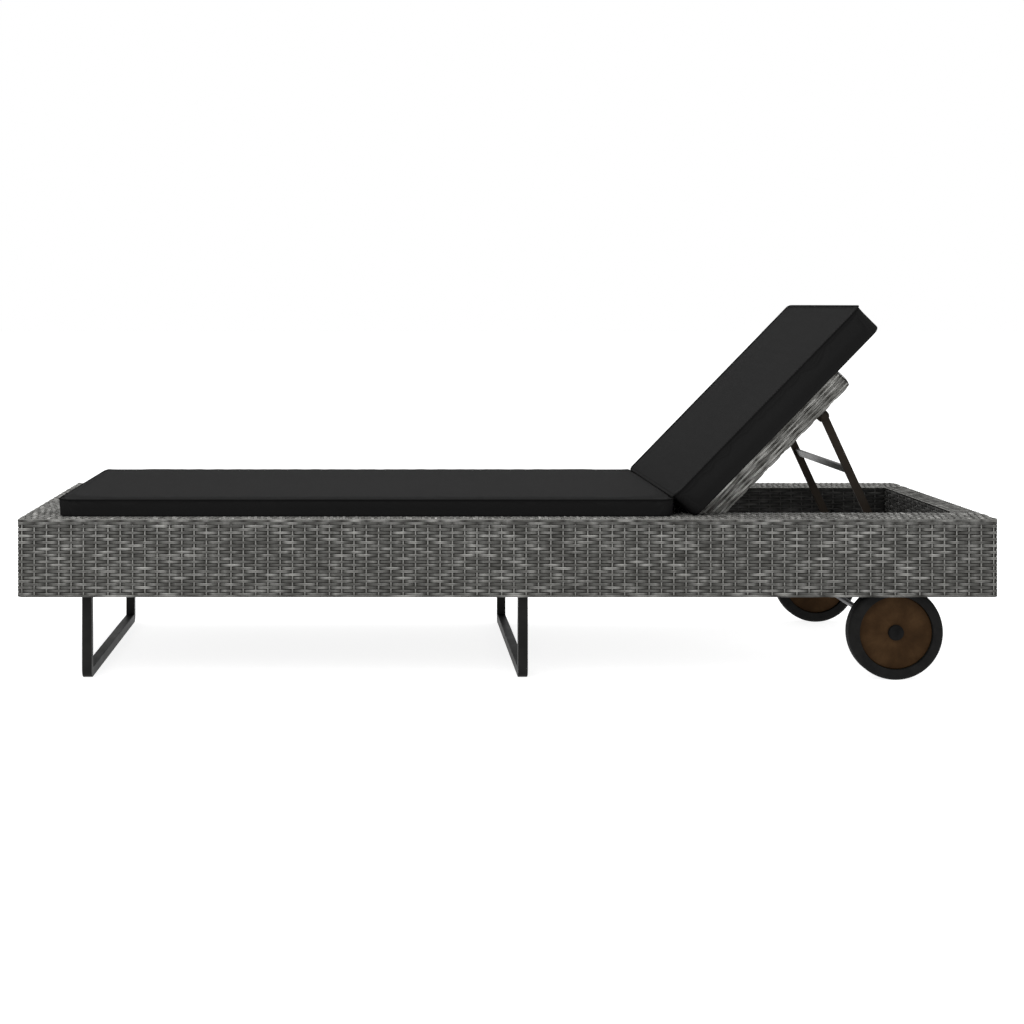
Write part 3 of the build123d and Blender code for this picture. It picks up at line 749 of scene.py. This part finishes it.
@dataclass
class WeaveShop:
    """Grows bands of weave with one Geometry Nodes tree."""

    material: bpy.types.Material
    thickness: float = 1.3 * MM
    stake_width: float = 2.8 * MM
    wave_middle: float = 0.75
    wave_crest: float = 0.22
    wave_dip: float = 2.0
    dip_sharpness: float = 5.0
    ruffle: float = 1.1 * MM
    tone_spread: float = 2.3
    stake_tone: float = 0.85
    # Lift attribute of the stakes, which puts a little painted shade on them.
    stake_lift: float = 0.9
    desk: TreeDesk = field(init=False)
    count: int = 0

    def __post_init__(self) -> None:
        """Build the tree."""
        self.desk = self.tree()

    def profile(self, desk: TreeDesk, width: object, thickness: object) -> bpy.types.NodeSocket:
        """Flat rounded section of a strand.

        Args:
            desk: The tree.
            width: Width socket or value.
            thickness: Thickness socket or value.

        Returns:
            The section curve.
        """
        ring = desk.result("GeometryNodeCurvePrimitiveCircle", {"Resolution": 6, "Radius": 0.5})
        spot = desk.result("GeometryNodeInputPosition")
        kept = desk.store(ring, "across", desk.parts(spot)[0])
        flat = desk.vectors("MULTIPLY", spot, desk.point(width, thickness, 1.0))
        return desk.result("GeometryNodeSetPosition", {"Geometry": kept, "Position": flat})

    def tree(self) -> TreeDesk:
        """Build the woven band tree.

        Returns:
            The tree.
        """
        desk = TreeDesk("woven_band")
        step = desk.entry("Step", "Vector")
        height, row_pitch, stake_pitch, width, thickness, stake_width = (desk.entry(name) for name in (
            "Height", "Row Pitch", "Stake Pitch", "Strand Width", "Strand Thickness", "Stake Width"))
        swing, lift, wander = (desk.entry(name) for name in ("Swing", "Lift", "Wander"))
        divisions = desk.entry("Divisions", "Int")
        stakes = desk.entry("Stakes", "Bool")
        seed, shade = desk.entry("Seed"), desk.entry("Shade")
        material = desk.entry("Material", "Material")

        path = desk.result("GeometryNodeMeshToCurve", {0: desk.source.outputs[0]})
        length = desk.result("GeometryNodeCurveLength", {0: path})
        spans, rows = (desk.math("MAXIMUM", desk.math("ROUND", desk.math("DIVIDE", size, pitch)), 1.0)
                       for size, pitch in ((length, stake_pitch), (height, row_pitch)))
        tangent = desk.result("GeometryNodeInputTangent")
        out = desk.vectors("NORMALIZE", desk.vectors("CROSS_PRODUCT", tangent, step))

        fine = desk.resampled(path, "Count", desk.plus(desk.times(spans, divisions), 1.0))
        copies = desk.node("GeometryNodeDuplicateElements", {"Geometry": fine, "Amount": rows},
                           domain="SPLINE")
        row = copies.outputs["Duplicate Index"]
        along = desk.times(desk.node("GeometryNodeSplineParameter").outputs["Factor"], spans)
        crest = desk.math("COSINE", desk.times(desk.plus(along, row), math.pi))
        dip = desk.math("POWER", desk.math("MULTIPLY_ADD", crest, -0.5, 0.5), self.dip_sharpness)
        wave = desk.minus(desk.math("MULTIPLY_ADD", crest, self.wave_crest, self.wave_middle),
                          desk.times(dip, self.wave_dip))
        spot = desk.point(desk.times(along, 0.55), desk.times(row, 2.7), seed)
        patch = desk.point(desk.times(along, 0.6), desk.times(row, 5.3), seed)
        apart = desk.vectors("ADD", spot, (31.0, 7.0, 3.0))
        ruffle = desk.times(desk.noise(apart, 2.0), self.ruffle)
        drift = desk.times(desk.noise(spot, 2.0), desk.times(wander, 2.0))
        rise = desk.plus(desk.times(desk.plus(row, 0.5), desk.math("DIVIDE", height, rows)), drift)
        away = desk.plus(desk.plus(lift, desk.times(wave, swing)), ruffle)
        tone = desk.plus(desk.times(desk.noise(patch, 3.0), self.tone_spread), 0.5)
        toned = desk.store(desk.facing(copies.outputs["Geometry"], out), "tone", tone)
        # The lift attribute is low in each dip under a stake, where the strand finish paints shade.
        lifted = desk.store(toned, "lift", desk.minus(1.0, dip))
        moved = desk.shifted(lifted, desk.vectors("ADD", desk.scaled(out, away), desk.scaled(step, rise)))
        strands = desk.swept(moved, self.profile(desk, thickness, width))

        posts = desk.resampled(path, "Count", desk.plus(spans, 1.0))
        kept = desk.node("GeometryNodeCaptureAttribute", {"Geometry": posts}, domain="POINT")
        kept.capture_items.new("VECTOR", "out")
        desk.links.new(out, kept.inputs["out"])
        upright = desk.result("GeometryNodeCurvePrimitiveLine", {
            "Start": (0, 0, 0), "End": desk.scaled(step, height)})
        stood = desk.result("GeometryNodeInstanceOnPoints", {
            "Points": kept.outputs["Geometry"], "Instance": upright})
        real = desk.result("GeometryNodeRealizeInstances", {"Geometry": stood})
        pale = desk.store(desk.facing(real, kept.outputs["out"]), "tone", self.stake_tone)
        placed = desk.shifted(desk.store(pale, "lift", self.stake_lift),
                              desk.scaled(kept.outputs["out"], lift))
        ribs = desk.swept(placed, self.profile(desk, thickness, stake_width))
        chosen = desk.result("GeometryNodeSwitch", {"Switch": stakes, "True": ribs},
                             input_type="GEOMETRY")
        # Keep the band's painted shade as an attribute for the strand finish; negative values paint light.
        desk.close(desk.store(desk.joined(strands, chosen), "shade", shade), material)
        return desk

    def band(self, band: Band) -> bpy.types.Mesh:
        """Grow one band.

        Args:
            band: Path and sizes of the band.

        Returns:
            The mesh of its strands and stakes.
        """
        self.count += 1
        return grown(path_object(band.path), self.desk, {
            "Step": tuple(band.step), "Height": band.height, "Row Pitch": band.row_pitch,
            "Stake Pitch": band.stake_pitch, "Strand Width": band.strand_width,
            "Strand Thickness": self.thickness, "Stake Width": self.stake_width, "Swing": band.swing,
            "Lift": band.lift, "Wander": band.wander, "Divisions": band.divisions, "Stakes": band.stakes,
            "Seed": float(SEED + SEED_STEP * self.count), "Shade": band.shade, "Material": self.material})

    def cover(self, name: str, bands: Iterable[Band], body: Body) -> None:
        """Grow several bands as one piece on a body.

        Args:
            name: Name of the piece.
            bands: The bands.
            body: Body that the piece moves with.
        """
        piece = merged(name, [self.band(band) for band in bands], self.material)
        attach(piece, body.value)
        report(piece)


def rounded_path(corners: Sequence[Vector], radius: float, steps: int = 4) -> list[Vector]:
    """Round the inner corners of an open path.

    Args:
        corners: Corner points in order.
        radius: Corner radius.
        steps: Segments of each round.

    Returns:
        Points of the rounded path.
    """
    points = [corners[0]]
    for before, here, after in zip(corners, corners[1:], corners[2:]):
        first = (before - here).normalized() * radius + here
        last = (after - here).normalized() * radius + here
        for k in range(steps + 1):
            t = k / steps
            points.append(first * (1 - t) ** 2 + here * (2 * t * (1 - t)) + last * t ** 2)
    points.append(corners[-1])
    return points


def raised(path: Sequence[Vector], height: float) -> list[Vector]:
    """A path moved upwards."""
    return [p + Z_AXIS * height for p in path]


@dataclass
class BoxFrame:
    """Woven box that carries the deck, the legs and the wheels."""

    shop: WeaveShop
    half_length: float = 1000 * MM
    half_width: float = 330 * MM
    inner_wall: float = 235 * MM
    top: float = 332 * MM
    bottom: float = 174 * MM
    foot_rim: float = 905 * MM
    well_start: float = 372 * MM
    well_end: float = 950 * MM
    deck_lip: float = 24 * MM
    corner: float = 7 * MM
    hem: float = 2.6 * MM
    border: float = 10.4 * MM
    rim_inset: float = 2 * MM
    inner_gap: float = 3 * MM
    rim_lift: float = 0.4 * MM
    rim_wander: float = 0.7 * MM

    def line(self, x: float, z: float, way: int = 1) -> list[Vector]:
        """Line between the inner walls, towards the far side, or back where way is -1."""
        return [Vector((x, end * self.inner_wall, z)) for end in (-way, way)]

    def wall(self, corners: Sequence[Vector]) -> list[Band]:
        """Weave of a vertical wall, with straight border strands at its top and a hem at its bottom.

        Args:
            corners: Plan path, turned so that the outside is on its right.

        Returns:
            The bands.
        """
        base = raised(rounded_path(corners, self.corner), self.bottom)
        tall = self.top - self.bottom
        main = Band(raised(base, self.hem), Z_AXIS, tall - self.hem - self.border)
        edge = Band(raised(base, tall - self.border), Z_AXIS, self.border, row_pitch=5.2 * MM,
                    strand_width=5.0 * MM, swing=0.15 * MM, lift=1.5 * MM, wander=0.35 * MM, stakes=False)
        foot = Band(raised(base, -0.4 * MM), Z_AXIS, 4.2 * MM, row_pitch=4.2 * MM, stake_pitch=50 * MM,
                    strand_width=4.4 * MM, swing=0.5 * MM, lift=1.4 * MM, wander=0.4 * MM, stakes=False)
        return [main, edge, foot]

    def side(self, side: int) -> list[Band]:
        """Bands of one long side.

        Args:
            side: -1 for the near side, 1 for the far side.

        Returns:
            The bands.
        """
        plan = [Vector((end * side * self.half_length, side * wide, 0)) for end, wide in (
            (1, self.inner_wall), (1, self.half_width), (-1, self.half_width), (-1, self.inner_wall))]
        inner = [Vector((x, side * self.inner_wall, self.bottom)) for x in (self.well_start, self.well_end)]
        rim = [Vector((-self.half_length, side * y, self.top))
               for y in (self.inner_wall, self.half_width - self.rim_inset)]
        return [*self.wall(plan),
                # The inner wall gets painted shade for the well; the rim top gets painted light.
                Band(inner[::side], Z_AXIS, self.top - self.bottom - self.inner_gap, swing=0.5 * MM,
                     lift=0.2 * MM, divisions=3, shade=0.86),
                Band(rim[::-side], X_AXIS, 2 * self.half_length, strand_width=5.9 * MM,
                     lift=self.rim_lift, wander=self.rim_wander, stake_pitch=31 * MM, shade=-0.25)]

    def foot(self) -> list[Band]:
        """Bands of the foot end."""
        return [*self.wall(self.line(-self.half_length, 0, -1)),
                Band(self.line(-self.half_length, self.top, -1), X_AXIS, self.half_length - self.foot_rim,
                     lift=self.rim_lift)]

    def head(self) -> list[Band]:
        """Bands of the head end."""
        rim = [Vector((x, -self.inner_wall, self.top))
               for x in (self.well_end, self.half_length - self.rim_inset)]
        return [*self.wall(self.line(self.half_length, 0)),
                # Painted shade on the inner wall of the well.
                Band(self.line(self.well_end, self.bottom, -1), Z_AXIS,
                     self.top - self.bottom - self.inner_gap, shade=0.6),
                Band(rim, Y_AXIS, 2 * self.inner_wall, lift=self.rim_lift, wander=self.rim_wander)]

    def deck(self) -> list[Band]:
        """Bands of the deck under the seat cushion."""
        return [Band(self.line(-self.foot_rim, self.top, -1), X_AXIS, self.foot_rim + self.well_start,
                     lift=self.rim_lift, divisions=3),
                # Painted shade on the lip down into the well.
                Band(self.line(self.well_start, self.top - self.deck_lip), Z_AXIS,
                     self.deck_lip - self.rim_inset, shade=0.8)]

    def build(self) -> None:
        """Weave every wall, rim and deck."""
        for name, bands in (("side_weave_near", self.side(-1)), ("side_weave_far", self.side(1)),
                            ("foot_weave", self.foot()), ("head_weave", self.head()),
                            ("deck_weave", self.deck())):
            self.shop.cover(name, bands, Body.FRAME)


@dataclass
class Backrest:
    """Hinged woven panel."""

    shop: WeaveShop
    hinge: Vector = Vector((405 * MM, 0, 310 * MM))
    recline: float = math.radians(45.8)
    start: float = -18 * MM
    end: float = 437 * MM
    half_width: float = 225 * MM
    over: float = 22.5 * MM
    under: float = -28.5 * MM
    corner: float = 8 * MM
    side_inset: float = 3 * MM

    def axes(self) -> tuple[Vector, Vector]:
        """Directions along the panel and out of its front."""
        c, s = math.cos(self.recline), math.sin(self.recline)
        return Vector((c, 0, s)), Vector((-s, 0, c))

    def at(self, along: float, across: float, out: float) -> Vector:
        """Point in panel measures as a point of the lounger."""
        a, n = self.axes()
        return self.hinge + a * along + n * out + Y_AXIS * across

    def build(self) -> None:
        """Weave the panel round its faces and along its two sides."""
        y = -self.half_width
        middle = (self.over + self.under) / 2
        loop = rounded_path([self.at(along, y, out) for along, out in (
            (self.start, middle), (self.start, self.over), (self.end, self.over),
            (self.end, self.under), (self.start, self.under), (self.start, middle))], self.corner)
        wrap = Band(loop, Y_AXIS, 2 * self.half_width, lift=0.5 * MM)
        ends = (self.start + self.side_inset, self.end - self.side_inset)
        near = [self.at(along, y, self.under) for along in ends]
        far = [self.at(along, -y, self.under) for along in reversed(ends)]
        # The panel sides get painted light that offsets the cushion's shadow on them.
        sides = [Band(line, self.axes()[1], self.over - self.under, row_pitch=4.3 * MM,
                      stake_pitch=48 * MM, strand_width=4.0 * MM, swing=0.8 * MM, lift=0.9 * MM,
                      wander=1.3 * MM, stakes=False, shade=-1.6) for line in (near, far)]
        self.shop.cover("back_weave", [wrap, *sides], Body.BACKREST)


# ---------------------------------------------------------------------------
# Cushions
# ---------------------------------------------------------------------------


def places(mesh: bpy.types.Mesh) -> np.ndarray:
    """Places of the vertices, one row each."""
    return read(mesh.vertices, "co", 3).reshape(-1, 3)


def belt(upper: Sequence[int], lower: Sequence[int]) -> list[tuple[int, ...]]:
    """Faces between two closed rings of vertices."""
    return list(zip(upper, lower, [*lower[1:], lower[0]], [*upper[1:], upper[0]]))


@dataclass
class Cushion:
    """Box cushion with a piped top seam, swollen by a cloth simulation."""

    node: str
    body: Body
    origin: Vector
    along: Vector
    up: Vector
    length: float
    width: float
    thickness: float
    crown: float
    belly: float
    foot_round: float
    plan_round: float
    cloth: bpy.types.Material
    piping_cloth: bpy.types.Material
    seam_desk: TreeDesk
    cell: float = 15 * MM
    top_inset: float = 1.2 * MM
    shoulder: float = 3.0 * MM
    shoulder_reach: float = 26 * MM
    shoulder_power: float = 2.2
    side_rise: float = 0.6 * MM
    piping: float = 1.5 * MM
    frames: int = 20

    def lines(self, span: float) -> np.ndarray:
        """Grid stations across a span, closer together beside the seams.

        Args:
            span: Length or width of the cushion.

        Returns:
            The stations, measured from the middle.
        """
        close = np.array([0.0, 2.5, 6.0, 10.5, 16.0, 24.0]) * MM
        count = max(2, round((span - 2 * close[-1]) / self.cell))
        middle = np.linspace(close[-1], span - close[-1], count + 1)[1:-1]
        return np.concatenate([close, middle, span - close[::-1]]) - span / 2

    def rounded(self, x: float, y: float, inset: float, radius: float) -> Point2:
        """Pull a grid point into a rectangle with rounded corners.

        Args:
            x: Place along the length.
            y: Place across the width.
            inset: How far the outline is inside the full size.
            radius: Corner radius in plan.

        Returns:
            The place on the rounded plan.
        """
        half_x, half_y = self.length / 2, self.width / 2
        x, y = x * (half_x - inset) / half_x, y * (half_y - inset) / half_y
        cx, cy = half_x - inset - radius, half_y - inset - radius
        dx, dy = abs(x) - cx, abs(y) - cy
        if dx > 0 and dy > 0:
            pull = max(dx, dy) / math.hypot(dx, dy)
            return math.copysign(cx + dx * pull, x), math.copysign(cy + dy * pull, y)
        return x, y

    def fall(self, x: float, y: float) -> float:
        """Drop of the top panel towards its seam.

        Args:
            x: Place along the length.
            y: Place across the width.

        Returns:
            The drop, in metres.
        """
        near = min(self.length / 2 - abs(x), self.width / 2 - abs(y))
        share = max(0.0, 1 - near / self.shoulder_reach)
        return self.shoulder * share ** self.shoulder_power

    def profile(self) -> list[Point2]:
        """Inset and height of each ring of the side, from the seam down to the round lower edge.

        Returns:
            The rings, highest first.
        """
        edge, low = self.thickness - self.shoulder, self.foot_round
        wall = [(2.6 * MM, edge - 1.2 * MM), (1.0 * MM, edge - 3.4 * MM), (0.5 * MM, edge * 0.80),
                (0.4 * MM, edge * 0.62), (0.4 * MM, edge * 0.45), (0.6 * MM, edge * 0.32)]
        turn = [(0.6 * MM + low * (1 - math.cos(a)), low * (1 - math.sin(a)))
                for a in map(math.radians, (0, 22.5, 45, 67.5))]
        return [ring for ring in wall if ring[1] > low * 1.12] + turn

    def shell(self) -> tuple[bpy.types.Mesh, list[int]]:
        """Closed starting shape of the cushion.

        Returns:
            The mesh and the vertex numbers of the top seam in order.
        """
        xs, ys = self.lines(self.length), self.lines(self.width)
        nx, ny = len(xs), len(ys)
        rim = [(i, 0) for i in range(nx)] + [(nx - 1, j) for j in range(1, ny)]
        rim += [(i, ny - 1) for i in range(nx - 2, -1, -1)] + [(0, j) for j in range(ny - 2, 0, -1)]
        seam = [i * ny + j for i, j in rim]
        cells = [(i * ny + j, (i + 1) * ny + j, (i + 1) * ny + j + 1, i * ny + j + 1)
                 for i in range(nx - 1) for j in range(ny - 1)]
        top = [self.rounded(x, y, self.top_inset, self.plan_round) for x in xs for y in ys]
        points: list[Point3] = [(x, y, self.thickness - self.fall(x, y)) for x, y in top]
        faces: list[tuple[int, ...]] = list(cells)
        last = seam
        for inset, z in self.profile():
            ring = list(range(len(points), len(points) + len(rim)))
            points += [(*self.rounded(xs[i], ys[j], inset, self.plan_round), z) for i, j in rim]
            faces += belt(last, ring)
            last = ring
        base, radius = len(points), self.plan_round - self.foot_round / 2
        points += [(*self.rounded(x, y, self.foot_round, radius), 0.0) for x in xs for y in ys]
        faces += belt(last, [base + k for k in seam])
        faces += [(base + a, base + d, base + c, base + b) for a, b, c, d in cells]
        mesh = bpy.data.meshes.new(self.node + "_soft")
        mesh.from_pydata(points, [], faces)
        work = bmesh.new()
        work.from_mesh(mesh)
        bmesh.ops.recalc_face_normals(work, faces=work.faces)
        work.to_mesh(mesh)
        work.free()
        return mesh, seam

    def swell(self, piece: bpy.types.Object, seam: Sequence[int]) -> None:
        """Blow the shell up as cloth, with its seam held, and keep part of the movement.

        Args:
            piece: The cushion.
            seam: Vertex numbers of the seam.
        """
        rest = places(piece.data)
        held = piece.vertex_groups.new(name="seam")
        held.add(list(seam), 1.0, "REPLACE")
        cloth = piece.modifiers.new("Cloth", "CLOTH")
        settings = cloth.settings
        settings.quality = 4
        settings.mass = 0.3
        settings.tension_stiffness = settings.compression_stiffness = 12.0
        settings.shear_stiffness = 6.0
        settings.bending_stiffness = 0.4
        settings.use_pressure = True
        settings.uniform_pressure_force = 4.0
        settings.effector_weights.gravity = 0.0
        settings.shrink_min = -0.012
        settings.vertex_group_mass = held.name
        cloth.collision_settings.use_collision = False
        scene = bpy.context.scene
        for number in range(1, self.frames + 1):
            scene.frame_set(number)
        evaluated = piece.evaluated_get(bpy.context.evaluated_depsgraph_get())
        swollen = places(evaluated.data)
        piece.modifiers.remove(cloth)
        scene.frame_set(1)
        self.settle(piece.data, rest, swollen - rest)
        piece.vertex_groups.remove(held)

    def settle(self, mesh: bpy.types.Mesh, rest: np.ndarray, move: np.ndarray) -> None:
        """Cap the movement of each point and keep the base flat.

        Args:
            mesh: Mesh to change.
            rest: Starting places.
            move: Movement of each point.
        """
        caps = np.tile(np.array([self.belly, self.belly, self.crown], np.float32), (len(rest), 1))
        caps[rest[:, 2] < self.thickness - self.shoulder - 0.1 * MM, 2] = self.side_rise
        placed = rest + caps * np.tanh(move / caps)
        placed[:, 2] = np.maximum(placed[:, 2], rest[:, 2].min())
        mesh.vertices.foreach_set("co", placed.astype(np.float32).ravel())
        mesh.update()

    def build(self) -> None:
        """Build, swell, place and dress the cushion and its piped seam."""
        mesh, seam = self.shell()
        piece = in_scene(mesh.name, mesh)
        self.swell(piece, seam)
        turn = Matrix((self.along, self.up.cross(self.along), self.up)).transposed().to_4x4()
        placement = Matrix.Translation(self.origin) @ turn
        mesh.transform(placement)
        line = [mesh.vertices[k].co.copy() for k in seam]
        smoother = piece.modifiers.new("Subdivision", "SUBSURF")
        smoother.levels = smoother.render_levels = 1
        mesh.polygons.foreach_set("use_smooth", [True] * len(mesh.polygons))
        mesh.materials.append(self.cloth)
        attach(piece, self.body.value)
        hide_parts(self.node)
        report(piece)
        self.trim(line, placement @ Vector((0, 0, self.thickness / 2)))

    def trim(self, line: Sequence[Vector], middle: Vector) -> None:
        """Add the piping and its stitches.

        Args:
            line: Points of the seam in order.
            middle: Middle of the cushion.
        """
        edge = grown(path_object(line, closed=True), self.seam_desk, {
            "Radius": self.piping, "Up": tuple(self.up), "Middle": tuple(middle),
            "Material": self.piping_cloth})
        piece = merged(self.node + "_piping", [edge], self.piping_cloth)
        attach(piece, self.body.value)
        report(piece)


def seam_tree() -> TreeDesk:
    """Tree that turns a seam into a piped edge with a row of stitches.

    Returns:
        The tree.
    """
    desk = TreeDesk("piped_seam")
    radius = desk.entry("Radius")
    step = desk.entry("Piping Step", default=6.0 * MM)
    pitch = desk.entry("Stitch Pitch", default=5.5 * MM)
    size = desk.entry("Stitch Length", default=3.4 * MM)
    thick = desk.entry("Stitch Thickness", default=0.9 * MM)
    inset = desk.entry("Stitch Inset", default=6.2 * MM)
    rise = desk.entry("Stitch Rise", default=0.6 * MM)
    up = desk.entry("Up", "Vector")
    middle = desk.entry("Middle", "Vector")
    material = desk.entry("Material", "Material")
    line = desk.result("GeometryNodeMeshToCurve", {0: desk.source.outputs[0]})
    ring = desk.result("GeometryNodeCurvePrimitiveCircle", {"Resolution": 8, "Radius": radius})
    tube = desk.swept(desk.resampled(line, "Length", step), ring, caps=False)

    tangent = desk.result("GeometryNodeInputTangent")
    side = desk.vectors("NORMALIZE", desk.vectors("CROSS_PRODUCT", tangent, up))
    inward = desk.vectors("SUBTRACT", middle, desk.result("GeometryNodeInputPosition"))
    facing = desk.node("ShaderNodeVectorMath", {0: side, 1: inward}, operation="DOT_PRODUCT")
    sense = desk.math("SIGN", facing.outputs["Value"])
    aim = desk.result("FunctionNodeAlignRotationToVector", {"Vector": tangent}, axis="X")
    bead = desk.result("GeometryNodeMeshUVSphere", {"Segments": 6, "Rings": 4, "Radius": 0.5})
    stitch = desk.result("GeometryNodeTransform", {
        "Geometry": bead, "Scale": desk.point(size, thick, thick)})
    shift = desk.vectors("ADD", desk.scaled(side, desk.times(sense, inset)), desk.scaled(up, rise))
    sewn = desk.result("GeometryNodeInstanceOnPoints", {
        "Points": desk.shifted(desk.resampled(line, "Length", pitch), shift), "Instance": stitch,
        "Rotation": aim})
    desk.close(desk.joined(tube, sewn), material)
    return desk


# ---------------------------------------------------------------------------
# Carried-over parts
# ---------------------------------------------------------------------------


@dataclass
class Hardware:
    """Finishes for the parts whose shape comes straight from the frame."""

    finishes: dict[Slot, bpy.types.Material]

    def dress(self) -> None:
        """Give every part the finish of its slot."""
        for row in frame["record"]["subparts"]:
            material = self.finishes[Slot(row["material_slot"])]
            for holder in frame["nodes"][row["node"]].material_slots:
                holder.material = material
            log.info("%s: %s", row["node"], material.name)


# ---------------------------------------------------------------------------
# Studio
# ---------------------------------------------------------------------------


@dataclass
class Studio:
    """Camera, soft lights, white surroundings and a pale floor."""

    eye: Vector = Vector((-0.265, -3.600, 0.772))
    lens: float = 56.31
    sensor: float = 36.0
    shift_x: float = 0.1309
    shift_y: float = -0.2031
    clip_end: float = 200.0
    floor_half: float = 40.0
    aim: Vector = Vector((0, 0, 0.3))
    key_place: Point3 = (-2.2, -2.6, 3.6)
    key_size: float = 3.0
    key_power: float = 105.0
    top_place: Point3 = (0.4, 0.4, 4.2)
    top_size: float = 3.5
    top_power: float = 150.0

    def camera(self) -> None:
        """Set the camera level, looking along the width."""
        data = bpy.data.cameras.new("camera")
        data.lens, data.sensor_width = self.lens, self.sensor
        data.shift_x, data.shift_y = self.shift_x, self.shift_y
        data.clip_end = self.clip_end
        made = in_scene("camera", data)
        made.location = self.eye
        made.rotation_euler = (math.pi / 2, 0, 0)
        bpy.context.scene.camera = made

    def floor(self) -> None:
        """Lay the floor."""
        mesh = bpy.data.meshes.new("floor")
        h = self.floor_half
        mesh.from_pydata([(-h, -h, 0), (h, -h, 0), (h, h, 0), (-h, h, 0)], [], [(0, 1, 2, 3)])
        mesh.materials.append(FloorFinish("studio_floor").build())
        made = in_scene("floor", mesh)

    def lamp(self, name: str, spot: Point3, size: float, power: float) -> None:
        """Hang a large square soft light that faces the lounger.

        Args:
            name: Name of the light.
            spot: Where it hangs.
            size: Side of the square.
            power: Power in watts.
        """
        data = bpy.data.lights.new(name, "AREA")
        data.shape, data.size, data.energy = "SQUARE", size, power
        made = in_scene(name, data)
        made.location = spot
        made.rotation_euler = (self.aim - Vector(spot)).to_track_quat("-Z", "Y").to_euler()

    def surroundings(self) -> None:
        """Fill the surroundings with even white light."""
        world = bpy.data.worlds.new("white")
        world.use_nodes = True
        background = world.node_tree.nodes["Background"]
        background.inputs["Color"].default_value = (1, 1, 1, 1)
        background.inputs["Strength"].default_value = 1.0
        bpy.context.scene.world = world

    def build(self) -> None:
        """Set up the whole studio."""
        self.camera()
        self.floor()
        self.surroundings()
        self.lamp("key", self.key_place, self.key_size, self.key_power)
        self.lamp("top", self.top_place, self.top_size, self.top_power)
        bpy.context.scene.view_settings.view_transform = "Standard"


# ---------------------------------------------------------------------------
# The lounger
# ---------------------------------------------------------------------------


def finishes() -> dict[Slot, bpy.types.Material]:
    """Make the finish of every slot.

    Returns:
        Material by slot.
    """
    looks = {
        Slot.WICKER: WovenCoreFinish("woven_core"),
        Slot.CLOTH: ClothFinish("cushion_cloth"),
        Slot.TYRE: RubberFinish("tyre_rubber"),
        Slot.WOOD: StainedWoodFinish("stained_wood"),
        Slot.PLASTIC: PlasticFinish("black_plastic"),
        Slot.ZINC: ZincFinish("zinc_steel"),
        Slot.GREY_STEEL: PowderCoatFinish(
            "grey_steel", (0.028, 0.027, 0.026), (0.046, 0.045, 0.043), 0.34, 0.28),
        Slot.BLACK_STEEL: PowderCoatFinish(
            "black_steel", (0.0075, 0.0075, 0.0073), (0.0135, 0.0133, 0.0127)),
        Slot.PROP_STEEL: PowderCoatFinish(
            "prop_steel", (0.0125, 0.0095, 0.0072), (0.021, 0.0165, 0.0125)),
    }
    return {slot: look.build() for slot, look in looks.items()}


def cushions(back: Backrest, cloth: bpy.types.Material) -> list[Cushion]:
    """The two cushions, seat first.

    Args:
        back: Backrest that carries the back cushion.
        cloth: Cloth of both cushions.

    Returns:
        The cushions.
    """
    along, out = back.axes()
    shared = {
        "cloth": cloth, "seam_desk": seam_tree(),
        # Piping cloth darker than the cushion cloth: painted shade along the seam line.
        "piping_cloth": ClothFinish("piping_cloth", (0.0018,) * 3, (0.0055,) * 3).build()}
    seat = Cushion(
        "seat_cushion", Body.FRAME, Vector((-0.28900, 0, 0.3318)), X_AXIS, Z_AXIS,
        length=1.2780, width=0.602, thickness=0.0390, crown=1.6 * MM, belly=2.6 * MM,
        foot_round=4 * MM, plan_round=26 * MM, **shared)
    rest = Cushion(
        "back_cushion", Body.BACKREST, back.at(0.2800, 0, 0.0218), along, out,
        length=0.556, width=0.584, thickness=0.0655, crown=3.0 * MM, belly=3.0 * MM,
        foot_round=5 * MM, plan_round=20 * MM, **shared)
    return [seat, rest]


def write_sizes() -> None:
    """Update the view layer."""
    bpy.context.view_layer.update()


def main() -> None:
    """Build the lounger and its studio."""
    logging.basicConfig(level=logging.INFO, format="%(name)s %(message)s")
    made = finishes()
    Studio().build()
    shop = WeaveShop(StrandFinish("woven_strand").build())
    back = Backrest(shop)
    for cushion in cushions(back, made[Slot.CLOTH]):
        cushion.build()
    BoxFrame(shop).build()
    back.build()
    Hardware(made).dress()
    write_sizes()


if __name__ == "__main__":
    main()
